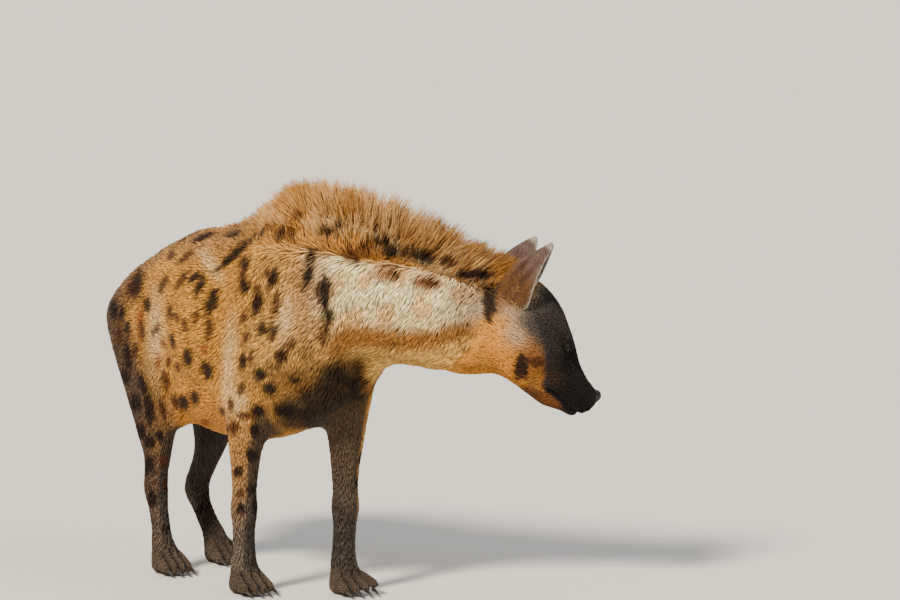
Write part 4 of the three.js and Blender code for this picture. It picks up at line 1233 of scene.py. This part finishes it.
def grow_brush():
    low = skin_shares[:, TAIL] * (1 - smoothstep(0.50, 0.545, skin_at[:, 2]))
    face, share = scatter(low * BRUSH_LOCKS / (face_areas * low[skin_faces].mean(axis=1)).sum())
    roots, outs, _, bake = roots_at(face, share)
    count = len(roots)
    room = np.maximum(roots[:, 2] - BRUSH_FOOT + draw.uniform(-0.035, 0.008, count), 0.02)
    length = np.minimum(draw.uniform(0.06, 0.10, count), room)
    way = unit(np.array([0.02, 0, -1.0]) + outs * draw.uniform(0.05, 0.28, (count, 1)))

    def lock_at(t):
        bent = unit(way + np.array([0, 0, -0.3]) * t)
        return roots + bent * (length * t)[:, None] + outs * (0.003 * math.sin(math.pi * t))

    sides = square_to(np.cross(way, outs) + 0.3 * draw.normal(0, 1, (count, 3)), way)
    widths = draw.uniform(0.0022, 0.0040, count)
    # Painted shade at the roots of the brush, paler tips
    add_tufts(
        "tail_brush", long_fur, [roots - outs * HAIR_SUNK, lock_at(0.35), lock_at(0.7)],
        lock_at(1.0), sides, unit(np.cross(way, sides)), widths, (0.8, 1.0, 0.7), (0, 0.35, 0.7, 1),
        (0.8, 1.0, 1.1, 1.25), [TAIL_BLACK * draw.uniform(0.8, 1.6, (count, 1))] * 4, bake,
    )


grow_brush()


def plain_material(name, colour, roughness, specular=0.5):
    material, _, _, shader = glossy_material(name, roughness, specular)
    set_inputs(shader, Base_Color=(*colour, 1))
    return material


def leather_material():
    """The nose's pebbled leather."""
    material, nodes, links, shader = glossy_material("nose_leather", 0.48, 0.35)
    set_inputs(shader, Base_Color=(*srgb("0d0d0f"), 1))
    pebbles = set_inputs(nodes.new("ShaderNodeTexVoronoi"), Scale=650)
    links.new(nodes.new("ShaderNodeTexCoord").outputs["Object"], pebbles.inputs["Vector"])
    add_relief(nodes, links, pebbles.outputs["Distance"], 0.55, 0.0006)
    return material


def finish_piece(obj, name, slot, material, *nodes):
    obj.name = name
    obj.data.name = name
    obj.data.materials.clear()
    obj.data.materials.append(material)
    smooth(obj.data)
    if nodes:
        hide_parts(*nodes)
    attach(obj, "root")


# The eye's colours by the angle from the gaze, as a share of a right angle: pupil, iris and the dull white
EYE_STOPS = {0.0: "050403", 0.24: "060404", 0.27: "3a2010", 0.46: "20120a", 0.50: "0a0605", 0.56: "1e1512"}


def eye_material():
    material, nodes, links, shader = glossy_material("eye_wet", 0.10, 0.20)
    angle = nodes.new("ShaderNodeAttribute")
    angle.attribute_name = "off_gaze"
    ramp = nodes.new("ShaderNodeValToRGB")
    stops = ramp.color_ramp.elements
    stops.remove(stops[1])
    for index, (place, code) in enumerate(EYE_STOPS.items()):
        stop = stops[0] if index == 0 else stops.new(place)
        stop.position = place
        stop.color = (*srgb(code), 1)
    links.new(angle.outputs["Fac"], ramp.inputs["Fac"])
    links.new(ramp.outputs["Color"], shader.inputs["Base Color"])
    return material


eye_wet = eye_material()
for side, centre in EYES.items():
    bpy.ops.mesh.primitive_uv_sphere_add(segments=48, ring_count=32, radius=EYE_RADIUS, location=(0, 0, 0))
    eye = bpy.context.object
    ball = places(eye.data)
    off_gaze = np.arccos(np.clip(ball[:, 2] / EYE_RADIUS, -1, 1)) / math.pi * 2
    eye.data.attributes.new("off_gaze", "FLOAT", "POINT").data.foreach_set("value", off_gaze)
    ball[:, 2] += 0.0011 * bump(0, 0.0062, np.hypot(ball[:, 0], ball[:, 1])) * (ball[:, 2] > 0)
    set_places(eye.data, ball)
    out = Vector(HEAD_TURN @ eye_ways(side)[0])
    turned = out.to_track_quat("Z", "Y").to_matrix().to_4x4()
    eye.data.transform(Matrix.Translation(Vector(from_head(centre))) @ turned)
    finish_piece(eye, f"eye_{side}_ball", "eye", eye_wet, f"eye_{side}")

# The nose pad: an egg, drawn down between the nostrils, with a comma of a nostril on each side
NOSTRIL = np.array([0.2855, 0.0100, -0.0125])
bpy.ops.mesh.primitive_ico_sphere_add(subdivisions=6, radius=1, location=(0, 0, 0))
nose = bpy.context.object
pad = NOSE_MIDDLE + places(nose.data) * NOSE_RADII
for turn in SIDES.values():
    near = (pad - NOSTRIL * [1, turn, 1]) * [0.3, 1, 1]
    outer = (pad - (NOSTRIL + [-0.006, 0.007, 0.0015]) * [1, turn, 1]) * [0.3, 0.8, 1.3]
    pad[:, 0] -= 0.0085 * bump(0, 0.0040, np.linalg.norm(near, axis=1))
    pad[:, 0] -= 0.0060 * bump(0, 0.0040, np.linalg.norm(outer, axis=1))
pad[:, 0] -= 0.0018 * bump(0, 0.0014, pad[:, 1]) * (pad[:, 2] < -0.004)
set_places(nose.data, from_head(pad))
finish_piece(nose, "nose_pad", "nose_leather", leather_material(), "nose")

# Claws: one is modelled along z and copied, each bent to its own place
CLAW_RINGS = 6
CLAW_SUNK = 0.004
horn = plain_material("claw_horn", srgb("2c241d"), 0.35)
bpy.ops.mesh.primitive_circle_add(vertices=10, radius=0.5, fill_type="NGON", location=(0, 0, 0))
claw_model = bpy.context.object
bpy.ops.object.mode_set(mode="EDIT")
bpy.ops.mesh.select_all(action="SELECT")
for _ in range(CLAW_RINGS):
    bpy.ops.mesh.extrude_region_move(TRANSFORM_OT_translate={"value": (0, 0, 1 / CLAW_RINGS)})
bpy.ops.object.mode_set(mode="OBJECT")
edit_all(claw_model, bpy.ops.mesh.normals_make_consistent, inside=False)
claw_shape = places(claw_model.data)
for paw in PAWS:
    for number in range(1, 5):
        low, high = (np.array(corner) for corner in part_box(f"{paw}_claw_{number}"))
        size = high - low
        claw = new_object("claw", claw_model.data.copy())
        x, y, t = claw_shape.T
        narrow = 1 - 0.68 * t ** 1.8
        bent = np.stack([
            low[0] - CLAW_SUNK + t * (size[0] + CLAW_SUNK) + y * 0.3 * size[2] * t * narrow,
            (low[1] + high[1]) / 2 + x * size[1] * narrow,
            high[2] - size[2] * (0.34 + 0.58 * t ** 1.7) + y * size[2] * 0.60 * narrow,
        ], axis=1)
        set_places(claw.data, bent)
        edit_all(claw, bpy.ops.mesh.normals_make_consistent, inside=False)
        finish_piece(claw, f"claw_{paw}_{number}", "claw", horn, f"{paw}_claw_{number}")
bpy.data.objects.remove(claw_model)

# Whiskers, in rows on the upper lip and a few over the eyes
WHISKERS = 17
WHISKER_WIDTH = 0.0009
WHISKER_STEPS = (0, 0.3, 0.65, 1)
WHISKER_BLACK = srgb("171210")


def grow_whiskers():
    starts, ways, lengths = [], [], []
    for side, turn in SIDES.items():
        for number in range(WHISKERS):
            row, place = divmod(number, 6)
            head = np.array([0.246 - 0.011 * place, 0.044 * turn, -0.032 - 0.011 * row])
            head += draw.normal(0, 0.0015, 3)
            way = unit(np.array([-0.42, 0.85 * turn, -0.20 - 0.15 * row]) + draw.normal(0, 0.10, 3))
            starts.append(head)
            ways.append(way)
            lengths.append(draw.uniform(0.035, 0.075))
        for number in range(3):
            starts.append(EYES[side] + [0.004 * number - 0.006, 0.004 * turn, 0.020])
            ways.append(unit(np.array([-0.3, 0.5 * turn, 0.8]) + draw.normal(0, 0.1, 3)))
            lengths.append(draw.uniform(0.025, 0.045))
    starts, ways = from_head(np.array(starts)), np.array(ways) @ HEAD_TURN.T
    roots, outs = over_skin(starts)
    lengths = np.array(lengths)[:, None]
    droop = np.array([0, 0, -0.25]) - 0.25 * HEAD_TURN[:, 0]
    rings = [roots + (ways * t + droop * t ** 2) * lengths for t in WHISKER_STEPS]
    rings[0] -= outs * HAIR_SUNK
    sides = square_to(np.cross(ways, [0, 0, 1.0]), ways)
    add_tufts(
        "whiskers", long_fur, rings[:-1], rings[-1], sides, unit(np.cross(ways, sides)),
        np.full(len(roots), WHISKER_WIDTH), (1.0, 0.8, 0.5), WHISKER_STEPS, (1, 1, 1, 1),
        [np.tile(WHISKER_BLACK, (len(roots), 1))] * 4, np.full((len(roots), 2), 0.5),
    )


grow_whiskers()

# The studio: a wide pale floor, and soft lights, each by the way to it, its strength, spread and colour
FLOOR_SIZE = 60
LIGHT_AWAY = 5
paper = plain_material("paper", (0.74, 0.73, 0.71), 0.9, 0.3)
bpy.ops.mesh.primitive_plane_add(size=FLOOR_SIZE)
floor = bpy.context.object
floor.name = "floor"
floor.data.materials.append(paper)


def soft_sun(name, azimuth, height, strength, spread, colour):
    way = way_to(math.radians(azimuth), math.radians(height))
    turn = way.to_track_quat("Z", "Y").to_euler()
    bpy.ops.object.light_add(type="SUN", location=way * LIGHT_AWAY, rotation=turn)
    sun = bpy.context.object
    sun.name = name
    sun.data.energy = strength
    sun.data.angle = math.radians(spread)
    sun.data.color = colour


soft_sun("key", 26, 38, 6.4, 12, (1.0, 0.89, 0.72))
soft_sun("fill", 105, 30, 0.5, 40, (0.90, 0.95, 1.0))
soft_sun("rim", 240, 40, 0.5, 25, (1.0, 0.97, 0.92))
world = bpy.data.worlds.new("studio")
bpy.context.scene.world = world
world.use_nodes = True
set_inputs(world.node_tree.nodes["Background"], Color=(0.88, 0.90, 0.94, 1), Strength=0.52)
